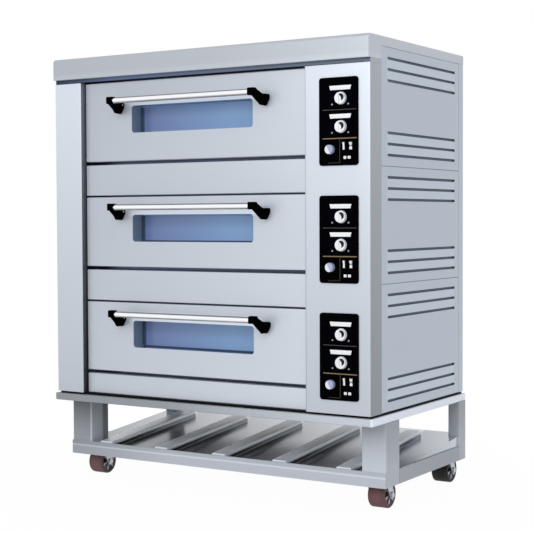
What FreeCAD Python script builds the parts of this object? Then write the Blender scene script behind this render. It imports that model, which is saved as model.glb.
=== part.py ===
# Three-deck electric deck oven on a low stand with casters.
#
# Millimetres, +Z up, X to the oven's right-hand side, Y to its back.  Each sub-part is drawn in
# cabinet coordinates, where Y = 0 is the front of the two columns and Z = 0 is the floor, and is
# moved along Y when it is saved, so that the origin lies on the floor under the middle of the oven.

import FreeCAD, Part

import math
import os

V = FreeCAD.Vector

# ---- driving dimensions -----------------------------------------------------------------------
WIDTH = 1300.0            # over the side panels
DEPTH = 727.0             # column fronts to back panel
SHEET = 1.5               # casing sheet
PLATE = 2.0               # inner frame and liner plate

STAND_OVERHANG = 8.0      # the stand beyond the oven's sides, front and back
WHEEL_D = 90.0
WHEEL_W = 62.0
CASTER_H = 108.0          # floor to the top of a caster's plate
CASTER_TRAIL = 28.0
CASTER_INSET = 64.0       # kingpin from the stand's side
FRONT_KINGPIN_Y = 158.0
REAR_KINGPIN_Y = 658.0

RAIL_Z = 84.0             # lower frame of the stand
RAIL_H = 50.0
RAIL_T = 4.0
LEDGE = 36.0              # inward foot of the rails, which the shelf tray stands on
CASTER_BAY = 135.0        # the ledges and the tray's walls stop this far from the stand's corners
FRONT_LEG = (90.0, 100.0)  # across, deep
REAR_LEG = (45.0, 57.0)
LEG_SETBACK = 92.0
TUBE_WALL = 2.5
TRAY_Z = (115.0, 175.0)   # top of the shelf tray at its front and at its back
SLATS = 5
SLAT_PITCH = 250.0
SLAT_W = 62.0
SLAT_H = 24.0
SLAT_END_Y = 630.0

PLINTH_Z = 297.0          # top frame of the stand
PLINTH_H = 25.0
PLINTH_W = 50.0
SHADOW_GAP = 8.0

LEFT_COLUMN_W = 120.0
CONTROL_COLUMN_W = 240.0
COLUMN_H = 1125.0
JAMB_DEPTH = 29.0         # return of each column beside the doors
CORNER_STRIP = 77.0       # return of each column along the oven's side
REAR_STRIP = 40.0
GROOVE = 15.0             # dark groove under the canopy
CANOPY_H = 76.0
CANOPY_LIP = 32.0
CANOPY_REACH = 11.0
CANOPY_ROUND = 14.0

DECKS = 3
DECK_PITCH = 378.0
FIRST_DOOR_Z = 84.0       # above the body's underside
DOOR_H = 249.5
TOP_DOOR_H = 282.5
DOOR_FACE_Y = 22.0
DOOR_T = 70.0
DOOR_PAN_T = 40.0
DOOR_SIDE_GAP = (6.0, 4.0)
PLUG_INSET = 12.0
WINDOW = (510.0, 96.0)
WINDOWS_Z = (90.0, 90.0, 99.0)         # above each door's lower edge
WINDOW_R = 11.0
PANE_T = 4.0
PANE_LAP = 8.0

PIN_R = 5.0
PIN_Y = DOOR_FACE_Y + 14.0
PIN_Z = 10.0              # above the door's lower edge

HANDLES_Z = (212.0, 212.0, 209.5)      # above each door's lower edge
HANDLE_SPAN = 600.0       # between bracket centres
BAR_R = 10.5
BAR_STANDOFF = 68.0
CAP = (24.0, 26.0, 25.0)
FOOT_DROP = 26.0          # foot centre below the bar
FOOT_OUT = 2.0            # foot centre outside the cap's

MOUTH = (20.0, 232.0)     # chamber mouth, above the door's lower edge
CHAMBER_W = 880.0
CHAMBER_BACK_Y = 665.0
HEARTH_T = 12.0
HEARTH_Z = 50.0
HEATER_R = 5.5
HEATER_PAIR = 70.0
HEATER_ROWS = (200.0, 380.0, 560.0)
LOWER_HEATER_Z = 36.0
UPPER_HEATER_Z = 218.0

PANEL = (142.0, 282.0, 5.0)
PANEL_X = 537.0
PANEL_Z = -39.0           # lower edge of a control panel, from the door's lower edge
DIAL_X = 549.0
DIALS_Z = (123.5, 214.0)  # above the control panel's lower edge
DIAL_R = 20.5
BEZEL = (84.0, 72.0, 3.0)
BEZEL_X = 546.5
BEZEL_DROP = 28.0         # lower edge of a bezel, below its dial's middle
SHAFT_R = 3.0
RUN = 0.05                # radial clearance of a running fit
BUTTON_X = 511.5
BUTTON_Z = 51.5
BUTTON_R = 15.0
BUTTON_L = 16.0
STEM_R = 4.0
BUTTON_TRAVEL = 4.0
ROCKERS = ((557.0, 6.0), (582.5, 9.0))     # middle and width
ROCKER_Z = 62.0
ROCKER_H = 23.5
ROCKER_TILT = 8.0         # each way from level; it rests with its lower half pressed
LAMPS_X = (562.0, 577.5)
LAMP_Z = 25.0
LAMP = (10.0, 9.0)

SLOT = (532.0, 9.0)
SLOT_Y = 386.0            # middle of a slot
SLOT_PITCH = 36.0
SLOT_EDGE = 36.0          # first slot from a side panel's edge

GLAND = (540.0, 430.0)
GLAND_REACH = 20.0

# ---- what follows from them -------------------------------------------------------------------
HALF = WIDTH / 2
STAND_HALF = HALF + STAND_OVERHANG
STAND_BACK = DEPTH + STAND_OVERHANG
RAIL_TOP = RAIL_Z + RAIL_H
BODY_Z = PLINTH_Z + PLINTH_H + SHADOW_GAP
COLUMN_TOP = BODY_Z + COLUMN_H
CANOPY_Z = COLUMN_TOP + GROOVE
TOP_Z = CANOPY_Z + CANOPY_H
DOOR_X = (-HALF + LEFT_COLUMN_W + DOOR_SIDE_GAP[0], HALF - CONTROL_COLUMN_W - DOOR_SIDE_GAP[1])
DOOR_MID = sum(DOOR_X) / 2
DOOR_Z = [BODY_Z + FIRST_DOOR_Z + i * DECK_PITCH for i in range(DECKS)]
DOOR_HEIGHTS = [DOOR_H] * (DECKS - 1) + [TOP_DOOR_H]
BAR_Y = DOOR_FACE_Y - BAR_STANDOFF
MOUTH_Y = DOOR_FACE_Y + DOOR_T + 3.0
CHAMBER_X = (DOOR_MID + 1.0 - CHAMBER_W / 2, DOOR_MID + 1.0 + CHAMBER_W / 2)
LEFT_JAMB_X = -HALF + LEFT_COLUMN_W - 15.0
PARTITION_X = HALF - CONTROL_COLUMN_W + 14.0
PANEL_SEAMS = (BODY_Z, BODY_Z + 418.0, BODY_Z + 800.0, TOP_Z - CANOPY_LIP)
CASTERS = {"front_left": (-1, FRONT_KINGPIN_Y), "front_right": (1, FRONT_KINGPIN_Y),
           "rear_left": (-1, REAR_KINGPIN_Y), "rear_right": (1, REAR_KINGPIN_Y)}
DECK_NAMES = ("bottom", "middle", "top")
Y_SHIFT = -(BAR_Y - CAP[1] / 2 + DEPTH + GLAND_REACH) / 2


# ---- shapes -----------------------------------------------------------------------------------
def box(x0, x1, y0, y1, z0, z1):
    return Part.makeBox(x1 - x0, y1 - y0, z1 - z0, V(x0, y0, z0))


def rod(axis, radius, start, length):
    """Cylinder from the point start along the axis named X, Y or Z."""
    return Part.makeCylinder(radius, length, V(*start), {"X": V(1, 0, 0), "Y": V(0, 1, 0), "Z": V(0, 0, 1)}[axis])


def runs_along(edge, axis):
    """True for a straight edge parallel to the axis named X, Y or Z."""
    if edge.Curve.TypeId != "Part::GeomLine":
        return False
    step = edge.Vertexes[-1].Point - edge.Vertexes[0].Point
    return abs(getattr(step, axis.lower())) > 0.999 * step.Length


def middle(edge):
    return edge.CenterOfMass


def rounded(shape, radius, wanted):
    """The shape with each edge that wanted() accepts rounded."""
    return shape.makeFillet(radius, [e for e in shape.Edges if wanted(e)])


def bevelled(shape, width, wanted):
    """The shape with each edge that wanted() accepts chamfered."""
    return shape.makeChamfer(width, [e for e in shape.Edges if wanted(e)])


def prism(points, axis, start, length):
    """Polygon pushed along an axis: points are (y, z) for X, (x, z) for Y and (x, y) for Z."""
    place = {"X": lambda a, b: V(start, a, b), "Y": lambda a, b: V(a, start, b), "Z": lambda a, b: V(a, b, start)}
    push = {"X": V(length, 0, 0), "Y": V(0, length, 0), "Z": V(0, 0, length)}
    corners = [place[axis](a, b) for a, b in points]
    return Part.Face(Part.makePolygon(corners + corners[:1])).extrude(push[axis])


def rounded_slab(mid_x, z0, width, height, radius, y0, y1):
    """Upright plate in the XZ plane with four round corners."""
    plate = box(mid_x - width / 2, mid_x + width / 2, y0, y1, z0, z0 + height)
    return rounded(plate, radius, lambda e: runs_along(e, "Y"))


def front_pan(x0, x1, y0, y1, z0, z1, bend=3.0):
    """Sheet pan with its face at y0 and four walls folded back to y1."""
    outer = rounded(box(x0, x1, y0, y1, z0, z1), bend,
                    lambda e: runs_along(e, "Y") or abs(middle(e).y - y0) < 0.01)
    return outer.cut(box(x0 + SHEET, x1 - SHEET, y0 + SHEET, y1 + 1, z0 + SHEET, z1 - SHEET))


def slot_x(y, z, length, height, x0, x1):
    """Cutter for a slot with round ends through a side panel."""
    r = height / 2
    half = length / 2 - r
    ends = [rod("X", r, (x0, y + s * half, z), x1 - x0) for s in (-1, 1)]
    return box(x0, x1, y - half, y + half, z - r, z + r).fuse(ends)


def mirrored(shape):
    return shape.mirror(V(0, 0, 0), V(1, 0, 0))


def save(name, solids):
    """Write one node: a solid, or a list of separate solids."""
    shape = Part.makeCompound(solids) if isinstance(solids, list) else solids
    shape = shape.copy()
    shape.translate(V(0, Y_SHIFT, 0))
    shape.exportStep("parts/%s.step" % name)


# ---- stand ------------------------------------------------------------------------------------
def leg(size, y0, rear):
    """Right-hand leg: a box tube whose outer walls run on down as a skirt that hides the caster's race."""
    across, deep = size
    low = CASTER_H + 4.0
    x0, x1, y1 = STAND_HALF - across, STAND_HALF, y0 + deep
    tube = rounded(box(x0, x1, y0, y1, RAIL_Z, PLINTH_Z), 5.0, lambda e: runs_along(e, "Z"))
    bore = box(x0 + TUBE_WALL, x1 - TUBE_WALL, y0 + TUBE_WALL, y1 - TUBE_WALL, RAIL_Z - 1, PLINTH_Z + 1)
    open_to = y1 - TUBE_WALL if rear else y1 + 1
    cuts = [bore, box(x0 - 1, x1 - TUBE_WALL, y0 - 1, open_to, RAIL_Z - 1, low),
            box(x0 - 1, x1 + 1, y0 - 1, y0 + 2, RAIL_Z - 1, low)]
    if rear:
        cuts.append(box(x0 - 1, x0 + 2, y0, y1 + 1, RAIL_Z - 1, low))
    return tube.cut(cuts)


def stand_legs():
    right = [leg(FRONT_LEG, LEG_SETBACK, False), leg(REAR_LEG, STAND_BACK - REAR_LEG[1], True)]
    return right + [mirrored(s) for s in right]


def stand_lower_frame():
    """Four angle rails with their ledge at the foot, and the plates that carry the casters."""
    top, foot = RAIL_TOP, RAIL_Z + RAIL_T
    front_y, back_y = LEG_SETBACK, STAND_BACK - RAIL_T
    reach = STAND_HALF - CASTER_BAY
    front = box(-STAND_HALF, STAND_HALF, front_y - RAIL_T, front_y, RAIL_Z, top)
    front = front.fuse(box(-reach, reach, front_y, front_y + LEDGE, RAIL_Z, foot)).removeSplitter()
    front = rounded(front, 3.0, lambda e: runs_along(e, "X") and abs(middle(e).y - front_y + RAIL_T) < 0.01
                    and middle(e).z > top - 0.01)
    rear_x = STAND_HALF - REAR_LEG[0]
    rear = box(-rear_x, rear_x, back_y, STAND_BACK, RAIL_Z, top)
    rear = rear.fuse(box(-reach, reach, back_y - LEDGE, back_y, RAIL_Z, foot)).removeSplitter()
    side_x = STAND_HALF - RAIL_T - 1
    side = box(side_x, STAND_HALF - 1, LEG_SETBACK + FRONT_LEG[1], STAND_BACK - REAR_LEG[1], RAIL_Z, top)
    side = side.fuse(box(side_x - LEDGE, side_x, LEG_SETBACK + CASTER_BAY, STAND_BACK - CASTER_BAY, RAIL_Z, foot))
    plate_x = STAND_HALF - 150
    plates = [box(plate_x, side_x, LEG_SETBACK, LEG_SETBACK + 125, CASTER_H, CASTER_H + 4),
              box(plate_x, side_x, STAND_BACK - 135, back_y, CASTER_H, CASTER_H + 4)]
    right = [side.removeSplitter()] + plates
    return [front, rear] + right + [mirrored(s) for s in right]


def stand_top_frame():
    """Plinth that the oven stands on: four flat tubes, butt-joined, with eased outer edges."""
    x = STAND_HALF
    y0 = -STAND_OVERHANG
    y1 = STAND_BACK
    z0, z1 = PLINTH_Z, PLINTH_Z + PLINTH_H
    front = rounded(box(-x, x, y0, y0 + PLINTH_W, z0, z1), 8.0,
                    lambda e: runs_along(e, "Z") and middle(e).y < y0 + 1)
    front = rounded(front, 4.0, lambda e: abs(middle(e).z - z0) < 0.01 and middle(e).y < y0 + PLINTH_W - 5)
    rear = front.mirror(V(0, (y0 + y1) / 2, 0), V(0, 1, 0))
    side = rounded(box(x - PLINTH_W, x, y0 + PLINTH_W, y1 - PLINTH_W, z0, z1), 4.0,
                   lambda e: runs_along(e, "Y") and middle(e).z < z0 + 1 and middle(e).x > x - 1)
    return [front, rear, side, mirrored(side)]


def shelf():
    """Tray set inside the rails, its floor falling to the front, with five pressed slats running back."""
    x = STAND_HALF - RAIL_T - 3
    y0, y1 = LEG_SETBACK + 1, STAND_BACK - RAIL_T - 1
    low = RAIL_Z + RAIL_T
    front_z, back_z = TRAY_Z
    tray = prism([(y0, low), (y0, front_z), (y1, back_z), (y1, low)], "X", -x, 2 * x)
    cuts = [prism([(y0 + PLATE, low - 1), (y0 + PLATE, front_z - PLATE), (y1 - PLATE, back_z - PLATE),
                   (y1 - PLATE, low - 1)], "X", -x + PLATE, 2 * (x - PLATE))]
    right = [box(STAND_HALF - FRONT_LEG[0] - 1, x + 1, y0 - 1, LEG_SETBACK + FRONT_LEG[1] + 1, low - 1, back_z),
             box(STAND_HALF - REAR_LEG[0] - 1, x + 1, STAND_BACK - REAR_LEG[1] - 1, y1 + 1, low - 1, back_z + 1)]
    bay_x = STAND_HALF - CASTER_BAY - 20
    right += [box(bay_x, x + 1, y0 - 1, LEG_SETBACK + CASTER_BAY, low - 1, CASTER_H + 4.6),
              box(bay_x, x + 1, STAND_BACK - CASTER_BAY - 10, y1 + 1, low - 1, CASTER_H + 4.6)]
    solids = [tray.cut(cuts + right + [mirrored(s) for s in right])]
    slope = math.degrees(math.atan((back_z - front_z) / (y1 - y0)))
    half, crown = SLAT_W / 2, SLAT_W / 2 - 4
    profile = [(-half, front_z), (half, front_z), (crown, front_z + SLAT_H), (-crown, front_z + SLAT_H)]
    for i in range(SLATS):
        mid = (i - (SLATS - 1) / 2) * SLAT_PITCH
        hat = prism([(mid + a, b) for a, b in profile], "Y", y0 + 3, SLAT_END_Y - y0 - 3)
        hat = rounded(hat, 3.0, lambda e: (runs_along(e, "Y") or middle(e).y > SLAT_END_Y - 1)
                      and middle(e).z > front_z + 1)
        hollow = prism([(mid + a * 0.9, b - 1.5) for a, b in profile], "Y", y0 + 5, SLAT_END_Y - y0 - 7)
        hat = hat.cut(hollow)
        hat.rotate(V(0, y0, front_z), V(1, 0, 0), slope)
        solids.append(hat)
    return solids


# ---- casters ----------------------------------------------------------------------------------
def caster_plate(side, y):
    """Mounting plate, upper race and riveted kingpin, which stay with the stand."""
    x = side * (STAND_HALF - CASTER_INSET)
    top = CASTER_H
    plate = box(x - 50, x + 50, y - 45, y + 45, top - 3, top)
    race = Part.makeCone(24.0, 27.0, 6.7, V(x, y, top - 9.7))
    pin = rod("Z", 6.0, (x, y, top - 16.0), 10.0)
    head = rod("Z", 10.0, (x, y, top - 18.5), 4.2)
    return plate.fuse([race, pin, head]).removeSplitter()


def caster_fork(side, y):
    """Yoke with its crown plate, two tapered arms, and the axle bolt with its nut."""
    x = side * (STAND_HALF - CASTER_INSET)
    axle_y, axle_z = y + CASTER_TRAIL, WHEEL_D / 2
    crown_z = CASTER_H - 10.0
    inner = WHEEL_W / 2 + 4.0
    outer = inner + 3.0
    crown = box(x - outer, x + outer, y - 27, y + 30, crown_z - 4, crown_z)
    crown = rounded(crown, 12.0, lambda e: runs_along(e, "Z") and middle(e).y < y)
    arms = []
    for s in (-1, 1):
        arm = prism([(y - 14, crown_z - 2), (axle_y - 13, axle_z - 2), (axle_y - 8, axle_z - 12), (axle_y + 8, axle_z - 12),
                     (axle_y + 13, axle_z - 2), (y + 30, crown_z - 2)], "X", x + s * (inner + 1.5) - 1.5, 3.0)
        arms.append(rounded(arm, 5.0, lambda e: runs_along(e, "X") and middle(e).z < axle_z))
    yoke = crown.fuse(arms).removeSplitter()
    yoke = yoke.cut([rod("Z", 6.0 + 0.06, (x, y, crown_z - 6), 8), rod("X", 6.0, (x - outer - 1, axle_y, axle_z), 2 * outer + 2)])
    bolt = rod("X", 6.0, (x - outer - 5, axle_y, axle_z), 2 * outer + 10)
    ends = [Part.makeCylinder(10.0, 5.0, V(x + e, axle_y, axle_z), V(1, 0, 0)) for e in (-outer - 5, outer)]
    return [yoke, bolt.fuse(ends).removeSplitter()]


def caster_wheel(side, y):
    """Solid-tyred wheel with round shoulders, dished sides and a long hub."""
    x = side * (STAND_HALF - CASTER_INSET)
    r, w = WHEEL_D / 2, WHEEL_W / 2
    bore, hub = 6.0 + 0.06, 13.0
    half = [(w + 3.4, bore), (w + 3.4, hub - 2), (w + 1, hub), (w - 8, hub + 1), (w - 8, r - 13), (w, r - 10), (w, r)]
    outline = [V(a, 0, b) for a, b in half] + [V(-a, 0, b) for a, b in reversed(half)]
    wheel = Part.Face(Part.makePolygon(outline + outline[:1])).revolve(V(0, 0, 0), V(1, 0, 0), 360)
    wheel = rounded(wheel, 5.0, lambda e: e.Length > 2 * math.pi * (r - 1))
    wheel.translate(V(x, y + CASTER_TRAIL, r))
    return wheel


# ---- casing -----------------------------------------------------------------------------------
def base_pan():
    """Shallow black tray under the oven, set back to leave a shadow gap above the plinth."""
    z0 = PLINTH_Z + PLINTH_H
    tray = box(-HALF + 4, HALF - 4, 12, DEPTH - 5, z0, BODY_Z)
    return tray.cut(box(-HALF + 6, HALF - 6, 14, DEPTH - 7, z0 - 1, BODY_Z - PLATE))


def column(x0, x1, outside):
    """Folded front column with a shallow return by the doors and a deep one down the oven's side."""
    outer = rounded(box(x0, x1, 0, CORNER_STRIP, BODY_Z, COLUMN_TOP), 3.0,
                    lambda e: runs_along(e, "Z") and middle(e).y < 1)
    shell = outer.cut(box(x0 + SHEET, x1 - SHEET, SHEET, CORNER_STRIP + 1, BODY_Z - 1, COLUMN_TOP + 1))
    doorside = x1 if outside < 0 else x0
    return shell.cut(box(doorside - 5, doorside + 5, JAMB_DEPTH, CORNER_STRIP + 1, BODY_Z - 1, COLUMN_TOP + 1))


def control_panel_z():
    return [z + PANEL_Z for z in DOOR_Z]


def control_column():
    shell = column(HALF - CONTROL_COLUMN_W, HALF, 1)
    holes = [box(PANEL_X - 60, PANEL_X + 60, -1, 5, z + 10, z + PANEL[1] - 10) for z in control_panel_z()]
    return shell.cut(holes)


def side_pan(z0, z1):
    """Right-hand side panel: a sheet with its four edges folded inwards."""
    y0, y1 = CORNER_STRIP + 0.5, DEPTH - REAR_STRIP - 0.5
    outer = rounded(box(HALF - 14, HALF, y0, y1, z0, z1), 2.0,
                    lambda e: runs_along(e, "X") or middle(e).x > HALF - 0.01)
    return outer.cut(box(HALF - 15, HALF - SHEET, y0 + SHEET, y1 - SHEET, z0 + SHEET, z1 - SHEET))


def right_side_panels():
    """Three lift-off panels with three ventilation slots at the head and three at the foot."""
    solids = []
    for z0, z1 in zip(PANEL_SEAMS, PANEL_SEAMS[1:]):
        heights = [z0 + SLOT_EDGE + i * SLOT_PITCH for i in range(3)]
        heights += [z1 - SLOT_EDGE - i * SLOT_PITCH for i in range(3)]
        slots = [slot_x(SLOT_Y, z, SLOT[0], SLOT[1], HALF - 3, HALF + 1) for z in heights]
        solids.append(side_pan(z0 + 0.5, z1 - 0.5).cut(slots))
    return solids


def left_side_panel():
    return mirrored(side_pan(PANEL_SEAMS[0] + 0.5, PANEL_SEAMS[-1] - 0.5))


def back_panel():
    """Rear sheet folded round both rear corners, with the cable entry hole low on the right."""
    z0, z1 = BODY_Z, TOP_Z - CANOPY_LIP - 0.5
    y0 = DEPTH - REAR_STRIP
    outer = rounded(box(-HALF, HALF, y0, DEPTH, z0, z1), 3.0, lambda e: runs_along(e, "Z") and middle(e).y > DEPTH - 1)
    shell = outer.cut(box(-HALF + SHEET, HALF - SHEET, y0 - 1, DEPTH - SHEET, z0 - 1, z1 + 1))
    return shell.cut(rod("Y", 12.0, (GLAND[0], DEPTH - 5, GLAND[1]), 10))


def canopy():
    """Top cover: a deep rounded fascia in front, a closed end round each corner, a lip elsewhere."""
    y0 = -CANOPY_REACH
    rolled = lambda e: runs_along(e, "X") and middle(e).z > TOP_Z - 1 and middle(e).y < y0 + 1
    outer = rounded(box(-HALF, HALF, y0, DEPTH, CANOPY_Z, TOP_Z), CANOPY_ROUND, rolled)
    outer = rounded(outer, 3.0, lambda e: runs_along(e, "Y") and middle(e).z > TOP_Z - 1)
    y1 = y0 + SHEET
    inner = box(-HALF + SHEET, HALF - SHEET, y1, DEPTH - SHEET, CANOPY_Z - 1, TOP_Z - SHEET)
    inner = rounded(inner, CANOPY_ROUND - SHEET,
                    lambda e: runs_along(e, "X") and middle(e).z > TOP_Z - 2 and middle(e).y < y1 + 1)
    shell = outer.cut(inner)
    shell = shell.cut(box(-HALF - 1, HALF + 1, CORNER_STRIP, DEPTH + 1, CANOPY_Z - 1, TOP_Z - CANOPY_LIP))
    hem = box(-HALF + SHEET, HALF - SHEET, y0 + SHEET, 9, CANOPY_Z, CANOPY_Z + SHEET)
    return shell.fuse(hem).removeSplitter()


def deck_fascias():
    """Fixed panels under each door, folded like the doors and flush with them."""
    gap_under, gap_over = 12.5, 6.0
    floors = [BODY_Z] + [DOOR_Z[i] + DOOR_HEIGHTS[i] + gap_over for i in range(DECKS - 1)]
    return [front_pan(DOOR_X[0], DOOR_X[1], DOOR_FACE_Y, DOOR_FACE_Y + 30, floor, DOOR_Z[i] - gap_under)
            for i, floor in enumerate(floors)]


def hinge_lug(x0, x1, z):
    """Ear on the inner frame that carries one end of a door's pivot."""
    ear = box(x0, x1, PIN_Y - 9, MOUTH_Y, z - 12, z + 12)
    ear = rounded(ear, 8.0, lambda e: runs_along(e, "X") and middle(e).y < PIN_Y)
    return ear.cut(rod("X", PIN_R + RUN, (x0 - 1, PIN_Y, z), x1 - x0 + 2))


def inner_frame():
    """Plates behind the doors, the electrical partition, the header, and the welded hinge ears."""
    y0, y1 = MOUTH_Y, MOUTH_Y + PLATE
    left, right = LEFT_JAMB_X, PARTITION_X
    mouths = [(z + MOUTH[0], z + MOUTH[1]) for z in DOOR_Z]
    edges = [BODY_Z] + [z for mouth in mouths for z in mouth] + [CANOPY_Z]
    solids = [box(CHAMBER_X[0], CHAMBER_X[1], y0, y1, edges[i], edges[i + 1]) for i in range(0, len(edges), 2)]
    solids.append(box(left, CHAMBER_X[0], y0, y1, BODY_Z, CANOPY_Z))
    solids.append(box(CHAMBER_X[1], right, y0, y1, BODY_Z, CANOPY_Z))
    solids.append(box(left, left + SHEET, JAMB_DEPTH + 1, y0, BODY_Z, COLUMN_TOP))
    solids.append(box(right, right + PLATE, JAMB_DEPTH + 1, DEPTH - PLATE, BODY_Z, COLUMN_TOP))
    solids.append(box(-HALF + 4, HALF - 4, 10, 12, COLUMN_TOP + 3, CANOPY_Z + 30))
    for z in DOOR_Z:
        solids.append(hinge_lug(left + SHEET, left + SHEET + 8, z + PIN_Z))
        solids.append(hinge_lug(right - 8, right, z + PIN_Z))
    return solids


# ---- baking chambers --------------------------------------------------------------------------
def chamber_liners():
    """Five plates and two hearth ledges for each chamber."""
    x0, x1 = CHAMBER_X
    y0, y1 = MOUTH_Y + PLATE, CHAMBER_BACK_Y
    solids = []
    for door in DOOR_Z:
        z0, z1 = door + MOUTH[0], door + MOUTH[1]
        solids += [box(x0, x1, y0, y1, z0, z0 + SHEET), box(x0, x1, y0, y1, z1 - SHEET, z1),
                   box(x0, x0 + SHEET, y0, y1, z0 + SHEET, z1 - SHEET),
                   box(x1 - SHEET, x1, y0, y1, z0 + SHEET, z1 - SHEET),
                   box(x0 + SHEET, x1 - SHEET, y1 - SHEET, y1, z0 + SHEET, z1 - SHEET)]
        shelf_z = door + HEARTH_Z
        solids += [box(x0 + SHEET, x0 + 21, y0, y1 - SHEET, shelf_z - 4, shelf_z),
                   box(x1 - 21, x1 - SHEET, y0, y1 - SHEET, shelf_z - 4, shelf_z)]
    return solids


def hearth_plates():
    """Stone slabs that the bread is baked on, eased along their front edge."""
    solids = []
    for door in DOOR_Z:
        z0 = door + HEARTH_Z
        slab = box(CHAMBER_X[0] + 3, CHAMBER_X[1] - 3, MOUTH_Y + 5, CHAMBER_BACK_Y - 5, z0, z0 + HEARTH_T)
        solids.append(rounded(slab, 4.0, lambda e: runs_along(e, "X") and middle(e).z > z0 + 1))
    return solids


def heating_elements():
    """Hairpin elements, three under each hearth and three under each ceiling."""
    x0, x1 = CHAMBER_X[0] + 75, CHAMBER_X[1] - SHEET
    bend = HEATER_PAIR / 2
    solids = []
    for door in DOOR_Z:
        for z in (door + LOWER_HEATER_Z, door + UPPER_HEATER_Z):
            for y in HEATER_ROWS:
                turn = Part.makeTorus(bend, HEATER_R, V(x0, y, z), V(0, 0, 1), -180, 180, 180)
                turn.rotate(V(x0, y, z), V(0, 0, 1), 90)
                legs = [rod("X", HEATER_R, (x0, y + s * bend, z), x1 - x0) for s in (-1, 1)]
                solids.append(turn.fuse(legs).removeSplitter())
    return solids


def insulation():
    """Mineral wool slabs round and between the chambers."""
    y0, y1 = MOUTH_Y + PLATE + 1, CHAMBER_BACK_Y + 1
    x0, x1 = LEFT_JAMB_X, PARTITION_X - 1
    low, high = BODY_Z + 1, COLUMN_TOP
    solids = [box(-HALF + 16, CHAMBER_X[0] - 1, y0, y1, low, high), box(CHAMBER_X[1] + 1, x1, y0, y1, low, high),
              box(-HALF + 16, x1, y1, DEPTH - 5, low, high)]
    floors = [low] + [z + MOUTH[1] + 1 for z in DOOR_Z]
    ceilings = [z + MOUTH[0] - 1 for z in DOOR_Z] + [high]
    solids += [box(CHAMBER_X[0], CHAMBER_X[1], y0, y1 - 1, a, b) for a, b in zip(floors, ceilings)]
    return solids


def lamps():
    """Round bulkhead lamp in each chamber and two pilot lamps on each control panel."""
    solids = []
    x = CHAMBER_X[1] - SHEET
    for door in DOOR_Z:
        lens = bevelled(rod("X", 30.0, (x - 12, 150.0, door + 140), 12.0), 4.0,
                        lambda e: middle(e).x < x - 11 and e.Length > 100)
        solids.append(lens)
    for z in control_panel_z():
        for lamp_x in LAMPS_X:
            solids.append(rounded_slab(lamp_x, z + LAMP_Z - LAMP[1] / 2, LAMP[0], LAMP[1], 2.0, -PANEL[2] - 2, 0))
    return solids


# ---- doors ------------------------------------------------------------------------------------
def window_z(deck):
    return DOOR_Z[deck] + WINDOWS_Z[deck]


def door_skin(deck):
    """Outer pan of a door with a deep framed window and pivot holes in its ends."""
    z0 = DOOR_Z[deck]
    z1 = z0 + DOOR_HEIGHTS[deck]
    face = DOOR_FACE_Y
    pan = front_pan(DOOR_X[0], DOOR_X[1], face, face + DOOR_PAN_T, z0, z1)
    frame = rounded_slab(DOOR_MID, window_z(deck) - SHEET, WINDOW[0] + 2 * SHEET, WINDOW[1] + 2 * SHEET,
                         WINDOW_R + SHEET, face + SHEET / 2, face + 56)
    opening = rounded_slab(DOOR_MID, window_z(deck), WINDOW[0], WINDOW[1], WINDOW_R, face - 1, face + 57)
    pivot = rod("X", PIN_R + 0.02, (DOOR_X[0] - 1, PIN_Y, z0 + PIN_Z), DOOR_X[1] - DOOR_X[0] + 2)
    return pan.fuse(frame).removeSplitter().cut([opening, pivot])


def door_inner(deck):
    """Inner plug that closes the chamber mouth, and the two pivot blocks with their pins."""
    z0 = DOOR_Z[deck]
    z1 = z0 + DOOR_HEIGHTS[deck]
    rim_y = DOOR_FACE_Y + DOOR_PAN_T
    back = DOOR_FACE_Y + DOOR_T
    i = PLUG_INSET
    rim = box(DOOR_X[0] + SHEET, DOOR_X[1] - SHEET, rim_y - PLATE, rim_y, z0 + SHEET, z1 - SHEET)
    plug = rounded(box(DOOR_X[0] + i, DOOR_X[1] - i, rim_y - PLATE, back, z0 + i, z1 - i), 4.0,
                   lambda e: runs_along(e, "Y") or middle(e).y > back - 0.01)
    hollow = box(DOOR_X[0] + i + SHEET, DOOR_X[1] - i - SHEET, rim_y - PLATE - 1, back - PLATE,
                 z0 + i + SHEET, z1 - i - SHEET)
    opening = rounded_slab(DOOR_MID, window_z(deck) + 4, WINDOW[0] - 8, WINDOW[1] - 8, WINDOW_R - 4, 0, back + 1)
    solids = [rim.fuse(plug).removeSplitter().cut([hollow, opening])]
    reach = PIN_R + 11.5
    pin_z = z0 + PIN_Z
    for edge, side, length in ((DOOR_X[0], 1, DOOR_X[0] - LEFT_JAMB_X - 2), (DOOR_X[1], -1, PARTITION_X - DOOR_X[1] - 1)):
        inside = edge + side * SHEET
        block = box(min(inside, inside + side * 24), max(inside, inside + side * 24), DOOR_FACE_Y + SHEET,
                    DOOR_FACE_Y + SHEET + 24, z0 + SHEET, z0 + SHEET + reach)
        pin = rod("X", PIN_R, (min(edge - side * length, inside), PIN_Y, pin_z), length + SHEET)
        solids.append(block.fuse(pin).removeSplitter())
    return solids


def door_glass(deck):
    """Two panes: one behind the window frame, one against the inner plug."""
    width, height = WINDOW[0] + 2 * PANE_LAP, WINDOW[1] + 2 * PANE_LAP
    panes = (DOOR_FACE_Y + 56, DOOR_FACE_Y + DOOR_T - PLATE - PANE_T)
    return [rounded_slab(DOOR_MID, window_z(deck) - PANE_LAP, width, height, 6.0, y, y + PANE_T) for y in panes]


def handle_bar(deck):
    """Round bar with eased ends, seated in the bracket caps."""
    length = HANDLE_SPAN + 20
    bar = rod("X", BAR_R, (DOOR_MID - length / 2, BAR_Y, DOOR_Z[deck] + HANDLES_Z[deck]), length)
    return rounded(bar, 1.5, lambda e: e.Length > 40 and not runs_along(e, "X"))


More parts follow.
